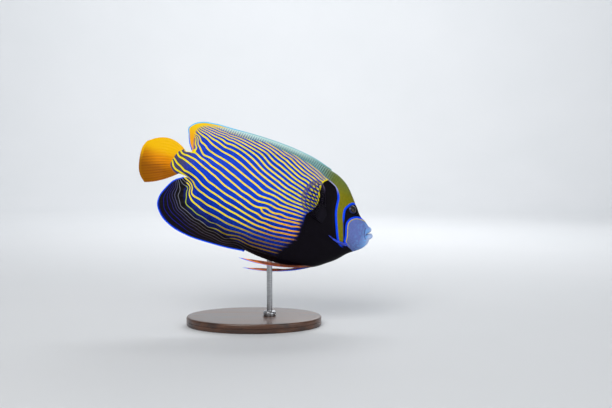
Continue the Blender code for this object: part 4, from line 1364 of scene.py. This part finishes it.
def make_lights():
    """A large key from above the camera, a fill from its other side, a wash on the wall behind, a rim
    from behind and pale air."""
    aim = (0.0, 0.0, 0.17)
    add_light("key", (-0.5, -1.3, 1.35), aim, 1.1, 22.0, (1.0, 0.98, 0.95))
    add_light("fill", (1.3, -1.2, 0.6), aim, 1.2, 7.0, (0.95, 0.98, 1.0))
    add_light("wash", (0.0, 1.7, 2.4), (0.0, 3.4, 0.6), 1.6, 60.0, (1.0, 1.0, 1.0))
    add_light("rim", (0.5, 1.3, 1.2), aim, 1.0, 9.0, (1.0, 1.0, 1.0))
    world = bpy.data.worlds.new("air")
    world.use_nodes = True
    sky = world.node_tree.nodes["Background"]
    sky.inputs["Color"].default_value = (0.86, 0.9, 0.95, 1.0)
    sky.inputs["Strength"].default_value = 0.26
    bpy.context.scene.world = world
    bpy.context.scene.view_settings.view_transform = "Standard"


# Camera: what it looks at, how far off it stands and how far it looks down.
VIEW_AIM = (0.0733, 0.0, 0.1704)
VIEW_DISTANCE = 1.19
VIEW_DOWN = math.radians(3.5)


def make_camera():
    """The photograph's view: square to the fish's right side, a little from above the base."""
    data = bpy.data.cameras.new("view")
    data.lens = 50.0
    data.sensor_width = 36.0
    away = Vector((0.0, -math.cos(VIEW_DOWN), math.sin(VIEW_DOWN)))
    camera = bpy.data.objects.new("view", data)
    camera.location = Vector(VIEW_AIM) + away * VIEW_DISTANCE
    camera.rotation_euler = (-away).to_track_quat("-Z", "Y").to_euler()
    bpy.context.scene.collection.objects.link(camera)
    bpy.context.scene.camera = camera


make_camera()
make_skin(painted("hide_painted", hide_paint(grain=0.5, roughness=0.42)))
scales = painted("scales_painted", hide_paint(grain=0.8, roughness=0.38))
make_body_coat(scales)
fins = painted("fins_painted", hide_paint(grain=0.5, roughness=0.42))
dorsal = dorsal_fin()
anal = anal_fin()
dorsal.build("dorsal_fin_membrane", fins, "fins", ["dorsal_fin_spiny", "dorsal_fin_soft"], 187, 36)
anal.build("anal_fin_membrane", fins, "fins", ["anal_fin"], columns=121, rows=40)
tail_fin().build("tail_fin_membrane", fins, "tail", ["tail_fin"], columns=129, rows=44)
fin_coat(dorsal, "dorsal_scales", scales, start=0.1, stop=0.72, seed=11)
fin_coat(anal, "anal_scales", scales, start=0.06, stop=0.6, seed=13)
make_paired_fins(painted("pectoral_membrane", pectoral_paint), painted("pelvic_orange", pelvic_paint))
make_eyes(painted("eye_wet", eye_paint))
make_cheek_spines(painted("spine_blue", spine_paint))
wood = painted("walnut_satin", wood_paint)
steel = painted("brushed_steel", steel_paint)
turned_part("stand_base_wood", "stand_base", wood, 160, base_profile)
turned_part("stand_collar_steel", "stand_collar", steel, 72, collar_profile)
turned_part("stand_rod_steel", "stand_rod", steel, 64, rod_profile)
make_backdrop(painted("backdrop_paper", backdrop_paint))
make_lights()

bpy.context.view_layer.update()
